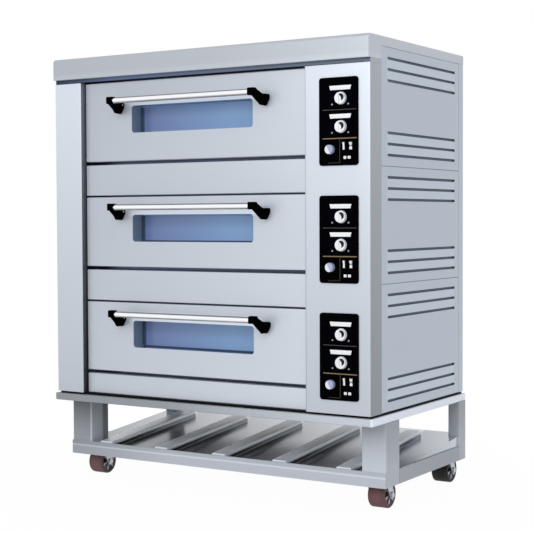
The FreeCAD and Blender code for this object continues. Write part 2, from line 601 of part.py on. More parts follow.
def handle_bracket(side, z):
    """Teardrop foot on the door, an arm that rises forwards, and a cap bored for the bar."""
    cap_x = DOOR_MID + side * HANDLE_SPAN / 2
    x = cap_x + side * FOOT_OUT
    foot_z = z - FOOT_DROP
    lobe, tip = 23.0, 8.0
    lobe_z, tip_z, top_z = foot_z + 5, foot_z - 13, foot_z + 21
    back, deep = DOOR_FACE_Y, 30.0
    front = back - deep
    foot = rod("Y", lobe, (x, front, lobe_z), deep)
    lean = math.asin((lobe - tip) / (lobe_z - tip_z))
    cos, sin = math.cos(lean), math.sin(lean)
    flank = [(x - lobe * cos, lobe_z - lobe * sin), (x + lobe * cos, lobe_z - lobe * sin),
             (x + tip * cos, tip_z - tip * sin), (x - tip * cos, tip_z - tip * sin)]
    foot = foot.fuse([rod("Y", tip, (x, front, tip_z), deep), prism(flank, "Y", front, deep)])
    foot = foot.common(box(x - 30, x + 30, 0 - deep, back, foot_z - 40, top_z))
    foot = rounded(foot, 4.0, lambda e: middle(e).y < front + 0.01)
    arm = prism([(front + 5, foot_z - 8), (front + 5, top_z - 1), (BAR_Y + 6, z + CAP[2] / 2),
                 (BAR_Y - 6, z - CAP[2] / 2)], "X", cap_x + side * 4 - 8, 16)
    cap = box(cap_x - CAP[0] / 2, cap_x + CAP[0] / 2, BAR_Y - CAP[1] / 2, BAR_Y + CAP[1] / 2,
              z - CAP[2] / 2, z + CAP[2] / 2)
    cap = rounded(cap, 5.0, lambda e: runs_along(e, "X"))
    return foot.fuse([arm, cap]).removeSplitter()


def handle_brackets(deck):
    z = DOOR_Z[deck] + HANDLES_Z[deck]
    seat = HANDLE_SPAN + 20
    bore = rod("X", BAR_R, (DOOR_MID - seat / 2, BAR_Y, z), seat)
    return [handle_bracket(side, z).cut(bore) for side in (-1, 1)]


# ---- controls ---------------------------------------------------------------------------------
def control_panels():
    """Black plates on the control column, pierced for the shafts, stems, rockers and lamps."""
    solids = []
    for z in control_panel_z():
        plate = rounded_slab(PANEL_X, z, PANEL[0], PANEL[1], 10.0, -PANEL[2], 0)
        plate = bevelled(plate, 1.0, lambda e: abs(middle(e).y + PANEL[2]) < 0.01)
        cuts = [rod("Y", SHAFT_R + 1, (DIAL_X, -PANEL[2] - 1, z + dial), PANEL[2] + 2) for dial in DIALS_Z]
        cuts.append(rod("Y", STEM_R + RUN, (BUTTON_X, -PANEL[2] - 1, z + BUTTON_Z), PANEL[2] + 2))
        cuts += [box(x - width / 2 - 0.5, x + width / 2 + 0.5, -PANEL[2] - 1, 1, z + ROCKER_Z - ROCKER_H / 2 - 1,
                     z + ROCKER_Z + ROCKER_H / 2 + 1) for x, width in ROCKERS]
        cuts += [rounded_slab(x, z + LAMP_Z - LAMP[1] / 2, LAMP[0], LAMP[1], 2.0, -PANEL[2] - 1, 1) for x in LAMPS_X]
        solids.append(plate.cut(cuts))
    return solids


def thermostats():
    """For each dial a square bezel on the control panel and the regulator's body behind it."""
    solids = []
    for z in control_panel_z():
        for dial in DIALS_Z:
            mid = z + dial
            bezel = rounded_slab(BEZEL_X, mid - BEZEL_DROP, BEZEL[0], BEZEL[1], 4.0, -PANEL[2] - BEZEL[2], -PANEL[2])
            body = box(DIAL_X - 33, DIAL_X + 33, 0, 52, mid - 33, mid + 33)
            hole = rod("Y", SHAFT_R + RUN, (DIAL_X, -20, mid), 40)
            solids += [bezel.cut(hole), body.cut(hole)]
    return solids


def dial_knob(z):
    """Round dial with a tapered rim, a raised grip to the left of its middle and its shaft."""
    front = -PANEL[2] - BEZEL[2] - 1
    disc = Part.makeCone(DIAL_R, DIAL_R - 2, 9.0, V(DIAL_X, front, z), V(0, -1, 0))
    blade = box(DIAL_X - 9.5, DIAL_X - 1.5, front - 13, front - 5, z - 17, z + 17)
    blade = rounded(blade, 3.0, lambda e: middle(e).y < front - 12)
    blade = blade.common(rod("Y", DIAL_R - 2.5, (DIAL_X, front - 20, z), 20))
    shaft = rod("Y", SHAFT_R, (DIAL_X, front - 2, z), 29)
    return disc.fuse([blade, shaft]).removeSplitter()


def push_button(z):
    """Long round-nosed cap that stands off the panel by its travel, on a stem with a retaining collar."""
    face = -PANEL[2]
    nose = face - BUTTON_TRAVEL - BUTTON_L
    cap = rounded(rod("Y", BUTTON_R, (BUTTON_X, nose, z), BUTTON_L - 0.5), 4.0, lambda e: middle(e).y < nose + 1)
    stem = rod("Y", STEM_R, (BUTTON_X, face - BUTTON_TRAVEL - 1, z), 18)
    collar = rod("Y", STEM_R + 3, (BUTTON_X, 0.5, z), 3)
    return cap.fuse([stem, collar]).removeSplitter()


def rocker(x, width, z):
    """Two-position rocker with a shallow V face, lying in its off position."""
    half = ROCKER_H / 2
    face = -PANEL[2]
    outline = [(face - 3.0, z - half), (face - 1.0, z), (face - 3.0, z + half), (face + 2.5, z + half), (face + 4, z),
               (face + 2.5, z - half)]
    body = prism(outline, "X", x - width / 2, width)
    body = rounded(body, 0.8, lambda e: runs_along(e, "X") and middle(e).y < face - 2)
    body.rotate(V(x, face, z), V(1, 0, 0), ROCKER_TILT)
    return body


# ---- electrical compartment -------------------------------------------------------------------
def switch_housings():
    """Contact block behind each push button and body behind each rocker."""
    solids = []
    for z in control_panel_z():
        mid = z + BUTTON_Z
        block = box(BUTTON_X - 14, BUTTON_X + 14, 0, 34, mid - 14, mid + 14)
        solids.append(block.cut(rod("Y", STEM_R + 3.5, (BUTTON_X, -1, mid), 14)))
        mid = z + ROCKER_Z
        solids += [box(x - 7, x + 7, 0, 18, mid - 16, mid + 16) for x, _ in ROCKERS]
    return solids


def switchgear():
    """Mounting rail, a contactor for each deck, the terminal strip and the cable gland."""
    x = PARTITION_X + PLATE
    solids = [box(x, x + 7, 250, 460, BODY_Z + 250, BODY_Z + 285)]
    for i in range(DECKS):
        y = 265 + i * 62
        base = box(x + 7, x + 62, y, y + 45, BODY_Z + 225, BODY_Z + 310)
        nose = box(x + 60, x + 90, y + 4, y + 41, BODY_Z + 245, BODY_Z + 290)
        solids.append(base.fuse(nose).removeSplitter())
    solids.append(box(x, x + 40, 560, 680, BODY_Z + 85, BODY_Z + 115))
    gland_y = DEPTH - 14
    barrel = rod("Y", 12.0, (GLAND[0], gland_y, GLAND[1]), 14 + GLAND_REACH)
    hexagon = [(GLAND[0] + 16 * math.cos(math.radians(60 * i)), GLAND[1] + 16 * math.sin(math.radians(60 * i)))
               for i in range(6)]
    nuts = [prism(hexagon, "Y", DEPTH, 9), prism(hexagon, "Y", DEPTH - SHEET - 5, 5)]
    solids.append(barrel.fuse(nuts).removeSplitter().cut(rod("Y", 8.0, (GLAND[0], gland_y - 1, GLAND[1]), 60)))
    return solids + switch_housings()


# ---- the oven ---------------------------------------------------------------------------------
def main():
    os.makedirs("parts", exist_ok=True)
    for make in (stand_legs, stand_lower_frame, stand_top_frame, shelf, base_pan, control_column,
                 right_side_panels, left_side_panel, back_panel, canopy, deck_fascias, inner_frame,
                 chamber_liners, hearth_plates, heating_elements, insulation, lamps, control_panels,
                 thermostats, switchgear):
        save(make.__name__, make())
    save("left_column", column(-HALF, -HALF + LEFT_COLUMN_W, -1))
    save("caster_plates", [caster_plate(side, y) for side, y in CASTERS.values()])
    for place, (side, y) in CASTERS.items():
        save("caster_fork_" + place, caster_fork(side, y))
        save("caster_wheel_" + place, caster_wheel(side, y))
    for deck, name in enumerate(DECK_NAMES):
        for make in (door_skin, door_inner, door_glass, handle_bar, handle_brackets):
            save("%s_%s" % (make.__name__, name), make(deck))
        panel = control_panel_z()[deck]
        for label, z in zip(("lower", "upper"), DIALS_Z):
            save("dial_knob_%s_%s" % (name, label), dial_knob(panel + z))
        save("push_button_" + name, push_button(panel + BUTTON_Z))
        for label, (x, width) in zip(("left", "right"), ROCKERS):
            save("rocker_%s_%s" % (name, label), rocker(x, width, panel + ROCKER_Z))
    print("Y shift %.3f" % Y_SHIFT)


main()
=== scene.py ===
# Looks of a three-deck bakery oven on a low stand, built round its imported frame.
#
# Metres, +Z up, +X to the oven's right seen from the front, +Y to its back.  Every new piece gets its
# place from the boxes of the frame's nodes, and rides on the body that carries it.

import math

import bpy
from bpy.props import FloatProperty, FloatVectorProperty, PointerProperty
from mathutils import Matrix, Vector


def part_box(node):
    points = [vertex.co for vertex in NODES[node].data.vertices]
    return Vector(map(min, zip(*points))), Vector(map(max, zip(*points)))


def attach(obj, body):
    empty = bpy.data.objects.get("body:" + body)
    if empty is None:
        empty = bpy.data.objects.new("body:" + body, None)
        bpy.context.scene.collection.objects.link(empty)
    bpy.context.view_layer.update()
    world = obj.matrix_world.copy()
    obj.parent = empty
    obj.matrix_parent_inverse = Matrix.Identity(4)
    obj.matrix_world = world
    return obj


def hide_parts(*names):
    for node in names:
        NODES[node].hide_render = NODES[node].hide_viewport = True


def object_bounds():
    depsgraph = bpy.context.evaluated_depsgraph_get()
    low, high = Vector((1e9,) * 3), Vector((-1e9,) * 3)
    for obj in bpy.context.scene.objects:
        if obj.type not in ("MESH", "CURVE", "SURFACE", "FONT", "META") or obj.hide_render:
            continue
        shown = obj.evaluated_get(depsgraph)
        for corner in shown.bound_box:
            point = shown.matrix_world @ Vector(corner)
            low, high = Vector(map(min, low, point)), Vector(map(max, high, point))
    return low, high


bl_info = {
    "name": "Deck Oven",
    "version": (1, 0, 0),
    "blender": (4, 5, 0),
    "location": "View3D > Sidebar > Deck Oven",
    "description": "Finishes and small parts of a three-deck bakery oven",
    "category": "Add Mesh",
}

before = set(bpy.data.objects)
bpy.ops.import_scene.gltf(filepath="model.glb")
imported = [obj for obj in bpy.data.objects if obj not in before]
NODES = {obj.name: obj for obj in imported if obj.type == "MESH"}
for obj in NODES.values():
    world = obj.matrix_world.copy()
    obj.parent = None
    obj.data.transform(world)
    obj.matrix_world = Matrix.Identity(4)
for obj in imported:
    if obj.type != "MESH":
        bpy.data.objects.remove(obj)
CAD_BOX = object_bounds()
DECKS = ("bottom", "middle", "top")
DIALS = [deck + row for deck in DECKS for row in ("_lower", "_upper")]
CASTERS = ("front_left", "front_right", "rear_left", "rear_right")
WIDE = [corner.x for corner in CAD_BOX]
SHELF_SLOPE = 0.0942            # rise of the shelf's floor per metre to the back
PANE_LAP = 0.008                # how far a pane reaches behind its frame
PLATE_FOOT = 0.1235             # foot of a control plate below the middle of its lower dial
SLOTS_OFF = 0.072               # middle of a group of slots from its panel's edge
BEZEL_WIDTH = 0.084
SPOKE_REACH = 0.0225            # middle of a spoke from the wheel's axis
GRAIN_X, GRAIN_Y, GRAIN_Z = (9.0, 900.0, 900.0), (900.0, 9.0, 900.0), (900.0, 900.0, 9.0)


def middle(node):
    low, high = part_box(node)
    return (low + high) / 2


# ---- settings ----------------------------------------------------------------------------------
def colour(name, description, value):
    return FloatVectorProperty(name=name, description=description, subtype="COLOR", size=4, min=0, max=1,
                               default=(*value, 1.0))


def length(name, description, value):
    return FloatProperty(name=name, description=description, unit="LENGTH", default=value)


def angle(name, description, degrees):
    return FloatProperty(name=name, description=description, subtype="ANGLE", default=math.radians(degrees))


class OvenColours(bpy.types.PropertyGroup):
    casing: colour("Casing", "Brushed sheet of the columns and side panels", (0.66, 0.71, 0.78))
    canopy: colour("Canopy", "Brushed sheet of the canopy", (0.46, 0.49, 0.53))
    # Painted shade: the flank tone is the casing tone darkened, standing for the shade on the side and back
    # panels
    flank: colour("Flanks", "Brushed sheet of the side and back panels", (0.57, 0.64, 0.725))
    door: colour("Doors", "Brushed sheet of the doors and the fixed panels under them", (0.60, 0.645, 0.71))
    stand: colour("Stand", "Painted tube and sheet of the stand", (0.64, 0.68, 0.74))
    blued: colour("Blued plates", "Heat-blued plates seen in the gaps round the doors", (0.12, 0.16, 0.28))
    glass: colour("Window", "Tint of the door windows", (0.265, 0.43, 0.68))
    jamb: colour("Window frame", "Enamel inside the window frames", (0.215, 0.29, 0.365))
    moulding: colour("Black mouldings", "Brackets, bezels and control plates", (0.0015, 0.0015, 0.002))
    dial: colour("Dials", "Thermostat dials and their scale strips", (0.90, 0.90, 0.92))
    button: colour("Push buttons", "Bodies of the push buttons", (0.42, 0.45, 0.66))
    gold: colour("Panel lines", "Fine lines on the control plates", (0.24, 0.17, 0.095))
    amber: colour("Amber", "Lit part of the right-hand rockers", (0.80, 0.42, 0.20))
    red: colour("Red", "Small red lens between the pilot lamps", (0.12, 0.005, 0.015))
    tread: colour("Treads", "Rubber of the three brown wheels", (0.155, 0.078, 0.082))
    zinc: colour("Zinc", "Plated caster steel and small screws", (0.52, 0.53, 0.56))
    stone: colour("Hearths", "Baking stone", (0.62, 0.55, 0.43))
    wool: colour("Wool", "Mineral wool round the chambers", (0.62, 0.55, 0.33))


class OvenSizes(bpy.types.PropertyGroup):
    strip_width: length("Scale strip width", "Upper edge of the white strip over a dial", 0.0795)
    strip_height: length("Scale strip height", "Height of the white strip over a dial", 0.014)
    strip_rise: length("Scale strip rise", "Middle of the strip above the dial's middle", 0.0335)
    line_width: length("Line width", "Width of the thick line on the control plates", 0.0034)
    screw_radius: length("Screw radius", "Heads of the bezel screws", 0.0030)
    seal_width: length("Window seal", "Width of the dark seal round a window", 0.004)


class OvenStage(bpy.types.PropertyGroup):
    place: FloatVectorProperty(name="Camera", description="Where the camera stands", subtype="TRANSLATION",
                               unit="LENGTH", default=(2.572, -4.046, 0.963))
    turn: angle("Turn", "Camera's heading", 31.97)
    tilt: angle("Tilt", "Camera's tilt below level", 2.10)
    roll: angle("Roll", "Camera's roll", -0.25)
    focus: FloatProperty(name="Focal length", description="On a 36 mm wide sensor", subtype="DISTANCE_CAMERA",
                         default=88.75)
    key: FloatProperty(name="Key light", description="Power in watts", default=95.0)
    sky: FloatProperty(name="Sky", description="Strength of the light from all round", default=0.55)


# ---- shader maths ------------------------------------------------------------------------------
class Signal:
    """A shader socket that takes part in Python arithmetic, which adds Math nodes to its material."""

    def __init__(self, finish, socket):
        self.finish = finish
        self.socket = socket

    def math(self, operation, first, second=0.0):
        return self.finish.node("ShaderNodeMath", {"operation": operation}, {0: first, 1: second})

    def __add__(self, other):
        return self.math("ADD", self, other)

    def __radd__(self, other):
        return self.math("ADD", other, self)

    def __sub__(self, other):
        return self.math("SUBTRACT", self, other)

    def __rsub__(self, other):
        return self.math("SUBTRACT", other, self)

    def __mul__(self, other):
        return self.math("MULTIPLY", self, other)

    def __gt__(self, other):
        return self.math("GREATER_THAN", self, other)

    def __lt__(self, other):
        return self.math("LESS_THAN", self, other)

    def __abs__(self):
        return self.math("ABSOLUTE", self)

    def limited(self):
        """The value held between 0 and 1."""
        return self.finish.node("ShaderNodeMath", {"operation": "ADD", "use_clamp": True}, {0: self, 1: 0.0})


class Finish:
    """A material in the making: its Principled shader and the nodes that feed it."""

    def __init__(self, name, roughness=0.5, metallic=0.0):
        self.material = bpy.data.materials.new(name)
        self.material.use_nodes = True
        self.tree = self.material.node_tree
        self.shader = self.tree.nodes["Principled BSDF"]
        self.set("Roughness", roughness)
        self.set("Metallic", metallic)
        self.here = self.node("ShaderNodeTexCoord", output="Object")

    def node(self, kind, settings=None, values=None, output=0):
        """A new node with its settings made first, then its sockets fed with numbers, colours or signals."""
        node = self.tree.nodes.new(kind)
        for name, value in (settings or {}).items():
            if name == "stops":
                self.stops(node.color_ramp, value)
            else:
                setattr(node, name, value)
        for name, value in (values or {}).items():
            self.feed(node.inputs[name], value)
        return Signal(self, node.outputs[output])

    def stops(self, ramp, stops):
        while len(ramp.elements) < len(stops):
            ramp.elements.new(1.0)
        for element, (position, tone) in zip(ramp.elements, stops):
            element.position = position
            element.color = (*tone[:3], 1.0)

    def feed(self, socket, value):
        if isinstance(value, Signal):
            self.tree.links.new(value.socket, socket)
        else:
            socket.default_value = value

    def set(self, name, value):
        self.feed(self.shader.inputs[name], value)

    def axes(self):
        """Object coordinates as three signals."""
        split = self.tree.nodes.new("ShaderNodeSeparateXYZ")
        self.feed(split.inputs[0], self.here)
        return [Signal(self, socket) for socket in split.outputs]

    def stretched(self, scale):
        """Object coordinates multiplied axis by axis, or by one number all round."""
        scale = scale if isinstance(scale, tuple) else (scale,) * 3
        return self.node("ShaderNodeMapping", {}, {"Vector": self.here, "Scale": scale})

    def tide(self, axis, start, end, first=0.0, last=1.0):
        """A signal that goes from first to last as an axis goes from start to end, and stays there."""
        return self.node("ShaderNodeMapRange", {"clamp": True},
                         {"Value": axis, "From Min": start, "From Max": end, "To Min": first, "To Max": last})

    def band(self, axis, centre, inner, outer, level=1.0):
        """A signal that holds its level near a place on an axis and fades to nothing on both sides."""
        return self.tide(abs(axis - centre), inner, outer, level, 0.0)

    def noise(self, scale, detail=2.0, roughness=0.5):
        place = self.stretched(scale)
        return self.node("ShaderNodeTexNoise", {},
                         {"Vector": place, "Scale": 1.0, "Detail": detail, "Roughness": roughness})

    def mix(self, factor, first, second):
        return self.node("ShaderNodeMix", {"data_type": "RGBA"}, {0: factor, 6: first, 7: second}, output=2)

    def shade(self, tone, amount):
        """The colour with its brightness changed by a signal about zero."""
        return self.node("ShaderNodeHueSaturation", {}, {"Value": amount + 1.0, "Color": tone})

    def coat(self, tone, amount):
        self.set("Base Color", self.shade(tuple(tone), amount))

    def bump(self, height, depth, strength):
        relief = self.node("ShaderNodeBump", {}, {"Height": height, "Distance": depth, "Strength": strength})
        self.set("Normal", relief)


def tinted(tone, share):
    """A colour with its red, green and blue multiplied by three shares."""
    return tuple(part * factor for part, factor in zip(tuple(tone), share)) + (1.0,)


def settings():
    return bpy.context.scene.oven_colours, bpy.context.scene.oven_sizes


# ---- finishes ----------------------------------------------------------------------------------
def brushed(name, tone, grain, roughness=0.36, changes=None):
    """Brushed stainless sheet; grain is how fast the scratches change along X, Y and Z.

    changes takes the finish and its axes and gives how much lighter or darker the sheet is at a place.
    """
    finish = Finish(name, metallic=0.3)
    scratches = finish.noise(grain)
    clouds = finish.noise((2.2, 2.2, 1.6))
    amount = (scratches - 0.5) * 0.05 + (clouds - 0.5) * 0.05
    if changes:
        amount = amount + changes(finish, *finish.axes())
    finish.coat(tone, amount)
    finish.set("Roughness", roughness + (scratches - 0.5) * 0.10 + (clouds - 0.5) * 0.06)
    finish.bump(scratches, 0.00012, 0.35)
    return finish.material


def painted(name, tone, changes, roughness=0.42):
    """Sprayed enamel with a faint orange peel; changes works as for brushed sheet."""
    finish = Finish(name)
    peel = finish.noise(260.0, detail=1.0)
    clouds = finish.noise(3.0)
    finish.coat(tone, (clouds - 0.5) * 0.06 + changes(finish, *finish.axes()))
    finish.set("Roughness", roughness + (clouds - 0.5) * 0.12)
    finish.bump(peel, 0.00015, 0.3)
    return finish.material


def shelf_sheet(name, tone):
    """Shiny sheet with painted reflection, light and shade: the floor darker at the front and lighter to the
    back, darker beside each slat's right flank and lighter towards the next slat, the slat tops painted
    lighter past their front ends, and painted shade down the slats' flanks.
    """
    finish = Finish(name)
    low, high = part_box("shelf")
    x, y, z = finish.axes()
    across = finish.node("ShaderNodeMath", {"operation": "WRAP"}, {0: x, 1: 0.25, 2: 0.0})
    rise = z - (y - low.y) * SHELF_SLOPE
    slat = finish.tide(rise, low.z + 0.038, low.z + 0.046)
    # Painted shade on each slat's right flank; below, painted reflection and shade on the floor and painted
    # light on the slat tops
    flank = finish.band(across, 0.031, 0.0015, 0.0030) * (rise > low.z + 0.030) * (1.0 - slat)
    floor = finish.tide(y, low.y + 0.12, high.y, -0.36, 0.20) + finish.tide(across, 0.035, 0.21, -0.35, 0.05)
    clouds = finish.noise(3.0)
    top = finish.tide(y, low.y + 0.02, low.y + 0.14, 0.30, 1.05)
    amount = floor * (1.0 - slat) + slat * top - flank * 0.3 + (clouds - 0.5) * 0.06
    finish.coat(tone, amount)
    finish.set("Metallic", 0.5 - slat * 0.3)
    finish.set("Roughness", 0.20 + slat * 0.15 + (clouds - 0.5) * 0.08)
    finish.bump(finish.noise(260.0, detail=1.0), 0.00015, 0.3)
    return finish.material


def moulded(name, tone, roughness=0.38, shine=0.5):
    """Moulded plastic with a fine even texture; shine is its specular level."""
    finish = Finish(name)
    finish.set("Specular IOR Level", shine)
    stipple = finish.noise(900.0, detail=1.0)
    finish.coat(tone, (stipple - 0.5) * 0.08)
    finish.set("Roughness", roughness + (stipple - 0.5) * 0.12)
    finish.bump(stipple, 0.00005, 0.25)
    return finish.material


def polished(name, tone, roughness):
    """Polished or plated metal with faint wiping marks along X."""
    finish = Finish(name, metallic=1.0)
    wipes = finish.noise((14.0, 500.0, 500.0))
    finish.coat(tone, (wipes - 0.5) * 0.04)
    finish.set("Roughness", roughness + (wipes - 0.5) * 0.06)
    return finish.material


def polished_bar(name, tone):
    """Polished round bar with painted dark reflection lines along its top and its foot."""
    finish = Finish(name, metallic=1.0)
    z = finish.axes()[2]
    painted_dark_lines = 0.0
    for deck in DECKS:
        axis = middle("handle_bar_" + deck).z
        painted_dark_lines = finish.tide(z, axis + 0.0052, axis + 0.0068, 0.0, 0.66) * (z < axis + 0.02) + painted_dark_lines
        painted_dark_lines = finish.tide(z, axis - 0.0032, axis - 0.0066, 0.0, 0.60) * (z > axis - 0.02) + painted_dark_lines
    wipes = finish.noise((14.0, 500.0, 500.0))
    finish.coat(tone, (wipes - 0.5) * 0.04 - painted_dark_lines)
    finish.set("Roughness", 0.10 + (wipes - 0.5) * 0.06)
    return finish.material


def button_cap(name, tone, deck):
    """Push button: a lavender body with a painted white highlight on the lower left of its front."""
    finish = Finish(name)
    x, y, z = finish.axes()
    low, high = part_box("push_button_" + deck)
    across = (low.x + high.x) / 2
    rise = (low.z + high.z) / 2
    painted_white_highlight = finish.tide(y, low.y + 0.0045, low.y + 0.0075, 1.0, 0.0)
    painted_white_highlight = painted_white_highlight * finish.tide(x + (z - rise) * 0.5, across - 0.003, across + 0.001, 1.0, 0.0)
    mottle = finish.noise(300.0)
    body = finish.shade(tuple(tone), (mottle - 0.5) * 0.5)
    finish.set("Base Color", finish.mix(painted_white_highlight, body, (0.83, 0.84, 0.88, 1.0)))
    finish.set("Roughness", 0.35 + (mottle - 0.5) * 0.2)
    finish.bump(mottle, 0.00005, 0.3)
    return finish.material


def lit_rocker(name, tones, deck):
    """White rocker with an amber window in its upper half and a dark waist."""
    finish = Finish(name)
    x, _, z = finish.axes()
    centre = middle("rocker_%s_right" % deck)
    window = finish.band(z, centre.z + 0.0075, 0.0020, 0.0040)
    waist = finish.tide(abs(z - centre.z) - abs(x - centre.x) * 0.5, 0.0006, 0.0026, 1.0, 0.0)
    wear = finish.noise(200.0)
    tone = finish.mix(window * 0.25, tuple(tones.dial), tuple(tones.amber))
    tone = finish.mix(waist * 0.8, tone, (0.03, 0.03, 0.04, 1.0))
    finish.set("Base Color", finish.shade(tone, (wear - 0.5) * 0.1))
    finish.set("Roughness", 0.35 + (wear - 0.5) * 0.1)
    return finish.material


def zinc_plate(name, tone):
    """Bright zinc plating with its cloudy spangle."""
    finish = Finish(name, metallic=0.8)
    spangle = finish.node("ShaderNodeTexVoronoi", {}, {"Vector": finish.stretched(160.0), "Scale": 1.0},
                          output="Color")
    grey = finish.node("ShaderNodeRGBToBW", {}, {0: spangle})
    finish.coat(tone, (grey - 0.5) * 0.16)
    finish.set("Roughness", 0.34 + (grey - 0.5) * 0.14)
    return finish.material


def rubber(name, tone, centre):
    """Tread rubber, scuffed paler where it rolls."""
    finish = Finish(name)
    finish.set("Specular IOR Level", 0.3)
    x = finish.axes()[0]
    rolls = finish.band(x, centre.x, 0.010, 0.020)
    grime = finish.noise(120.0, detail=4.0)
    finish.coat(tone, (grime - 0.5) * 0.5 + rolls * 0.25)
    finish.set("Roughness", 0.55 + (grime - 0.5) * 0.3 + rolls * 0.1)
    finish.bump(grime, 0.0003, 0.4)
    return finish.material


def blued_plate(name, tone):
    """Heat-blued plate with painted shade and light: nearly black at its left end, blue along the middle,
    paler to the right, and lighter along the foot of the bottom door.
    """
    finish = Finish(name, metallic=0.9)
    x, _, z = finish.axes()
    clouds = finish.noise(6.0, detail=3.0)
    across = finish.tide(x + (clouds - 0.5) * 0.2, *WIDE)
    stops = [(0.0, tinted(tone, (0.30, 0.28, 0.20))), (0.2, tone), (0.6, tinted(tone, (1.15, 1.05, 0.85))),
             (1.0, tinted(tone, (1.0, 0.90, 0.66)))]
    ramp = finish.node("ShaderNodeValToRGB", {"stops": stops}, {0: across})
    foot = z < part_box("door_skin_bottom")[0].z + 0.02
    finish.set("Base Color", finish.mix(foot, ramp, tinted(tone, (2.2, 2.0, 1.6))))
    finish.set("Roughness", 0.32 + (clouds - 0.5) * 0.2)
    return finish.material


def baking_stone(name, tone):
    """Pale stone with darker grains and a few toasted patches."""
    finish = Finish(name, roughness=0.85)
    grains = finish.noise(420.0, detail=3.0)
    toast = finish.noise(7.0, detail=4.0)
    browned = finish.mix(((toast - 0.52) * 4.0).limited(), tuple(tone), (0.30, 0.20, 0.11, 1.0))
    finish.set("Base Color", finish.shade(browned, (grains - 0.5) * 0.35))
    finish.bump(grains, 0.0004, 0.5)
    return finish.material


def heater_oxide(name):
    """Dark sheath of a heating element, with straw and blue heat colours."""
    finish = Finish(name, metallic=0.6)
    tint = finish.noise(22.0, detail=3.0)
    stops = [(0.3, (0.035, 0.03, 0.03)), (0.5, (0.10, 0.06, 0.035)), (0.7, (0.05, 0.06, 0.09))]
    tone = finish.node("ShaderNodeValToRGB", {"stops": stops}, {0: tint})
    finish.set("Base Color", tone)
    finish.set("Roughness", 0.5 + (tint - 0.5) * 0.3)
    return finish.material


def wool(name, tone):
    """Mineral wool: matted fibres."""
    finish = Finish(name, roughness=0.95)
    fibres = finish.noise((60.0, 500.0, 300.0), detail=6.0, roughness=0.7)
    finish.coat(tone, (fibres - 0.5) * 0.6)
    finish.bump(fibres, 0.002, 0.8)
    return finish.material


def window_pane(name, tone):
    """Tinted pane with a painted reflection, purplish to the left and paler blue to the right, and a navy band
    of painted shade at its left edge.
    """
    finish = Finish(name, roughness=0.06)
    x = finish.axes()[0]
    low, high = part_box("door_glass_top")
    haze = finish.noise(9.0, detail=3.0)
    across = finish.tide(x + (haze - 0.5) * 0.06, low.x + 0.02, high.x - 0.14)
    tint = finish.mix(across, tinted(tone, (0.68, 0.56, 0.68)), tuple(tone))
    band = finish.tide(x, low.x + 0.021, low.x + 0.024, 1.0, 0.0)
    finish.set("Base Color", finish.mix(band, tint, (0.060, 0.090, 0.16, 1.0)))
    finish.set("Alpha", 0.93)
    finish.set("Roughness", 0.16 + (haze - 0.5) * 0.12)
    return finish.material


def lamp_glass(name):
    """Clear ribbed lens in a chamber; the pilot lamps on the front are milky white."""
    finish = Finish(name, roughness=0.15)
    y = finish.axes()[1]
    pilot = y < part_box("control_column")[0].y + 0.044
    ribs = finish.node("ShaderNodeTexWave", {"wave_type": "BANDS", "bands_direction": "Y"},
                       {"Vector": finish.stretched(1.0), "Scale": 90.0}, output="Fac")
    finish.set("Base Color", finish.mix(pilot, (0.80, 0.76, 0.62, 1.0), (0.86, 0.86, 0.88, 1.0)))
    finish.set("Roughness", 0.16 + ribs * 0.08)
    finish.bump(ribs, 0.0004, 0.4)
    return finish.material


def door_sheet(name, tone, jamb, deck):
    """A door's brushed sheet with slate enamel inside its window frame, painted light to the right, towards
    the foot and between the handle bar and the window, and a glossy blue painted reflection on the frame's top
    and bottom reveals.
    """
    finish = Finish(name)
    low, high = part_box("door_glass_" + deck)
    centre = (low + high) / 2
    x, y, z = finish.axes()
    face_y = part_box("door_skin_" + deck)[0].y
    half_x, half_z = (high.x - low.x) / 2 - PANE_LAP, (high.z - low.z) / 2 - PANE_LAP
    inside = (abs(x - centre.x) < half_x + 0.0016) * (abs(z - centre.z) < half_z + 0.0016)
    inside = inside * (y > face_y + 0.0012)
    level = inside * (abs(z - centre.z) > half_z - 0.0010)
    bar = middle("handle_bar_" + deck).z
    scratches = finish.noise(GRAIN_X)
    clouds = finish.noise((2.2, 2.2, 1.6))
    amount = (scratches - 0.5) * 0.05 + (clouds - 0.5) * 0.04 + painted_door_light(finish, x, y, z)
    # Painted light: a lighter band on the sheet between the handle bar and the window, where the bar's shadow
    # falls
    painted_light_span = finish.band(x, centre.x, 0.255, 0.285)
    over = centre.z + half_z
    reach = (bar - over) / 2
    amount = amount + finish.band(z, (bar + over) / 2, reach, reach + 0.008, 0.40) * painted_light_span
    tint = finish.mix(inside, finish.shade(tuple(tone), amount), tuple(jamb))
    # Painted reflection: the top and bottom reveals of the window frame are a glossy blue like the pane
    finish.set("Base Color", finish.mix(level, tint, (0.42, 0.55, 0.80, 1.0)))
    finish.set("Metallic", 0.3 - inside * 0.25 + level * 0.9)
    finish.set("Roughness", 0.36 + (scratches - 0.5) * 0.10 + inside * 0.1 - level * 0.32)
    finish.bump(scratches, 0.00012, 0.35)
    return finish.material


def painted_door_light(finish, x, y, z):
    """Painted light: the sheet of the doors and fixed panels lighter to the right and towards the foot."""
    return finish.tide(x, *WIDE, -0.18, 0.02) + finish.tide(z, 0.45, 1.45, 0.08, -0.04)


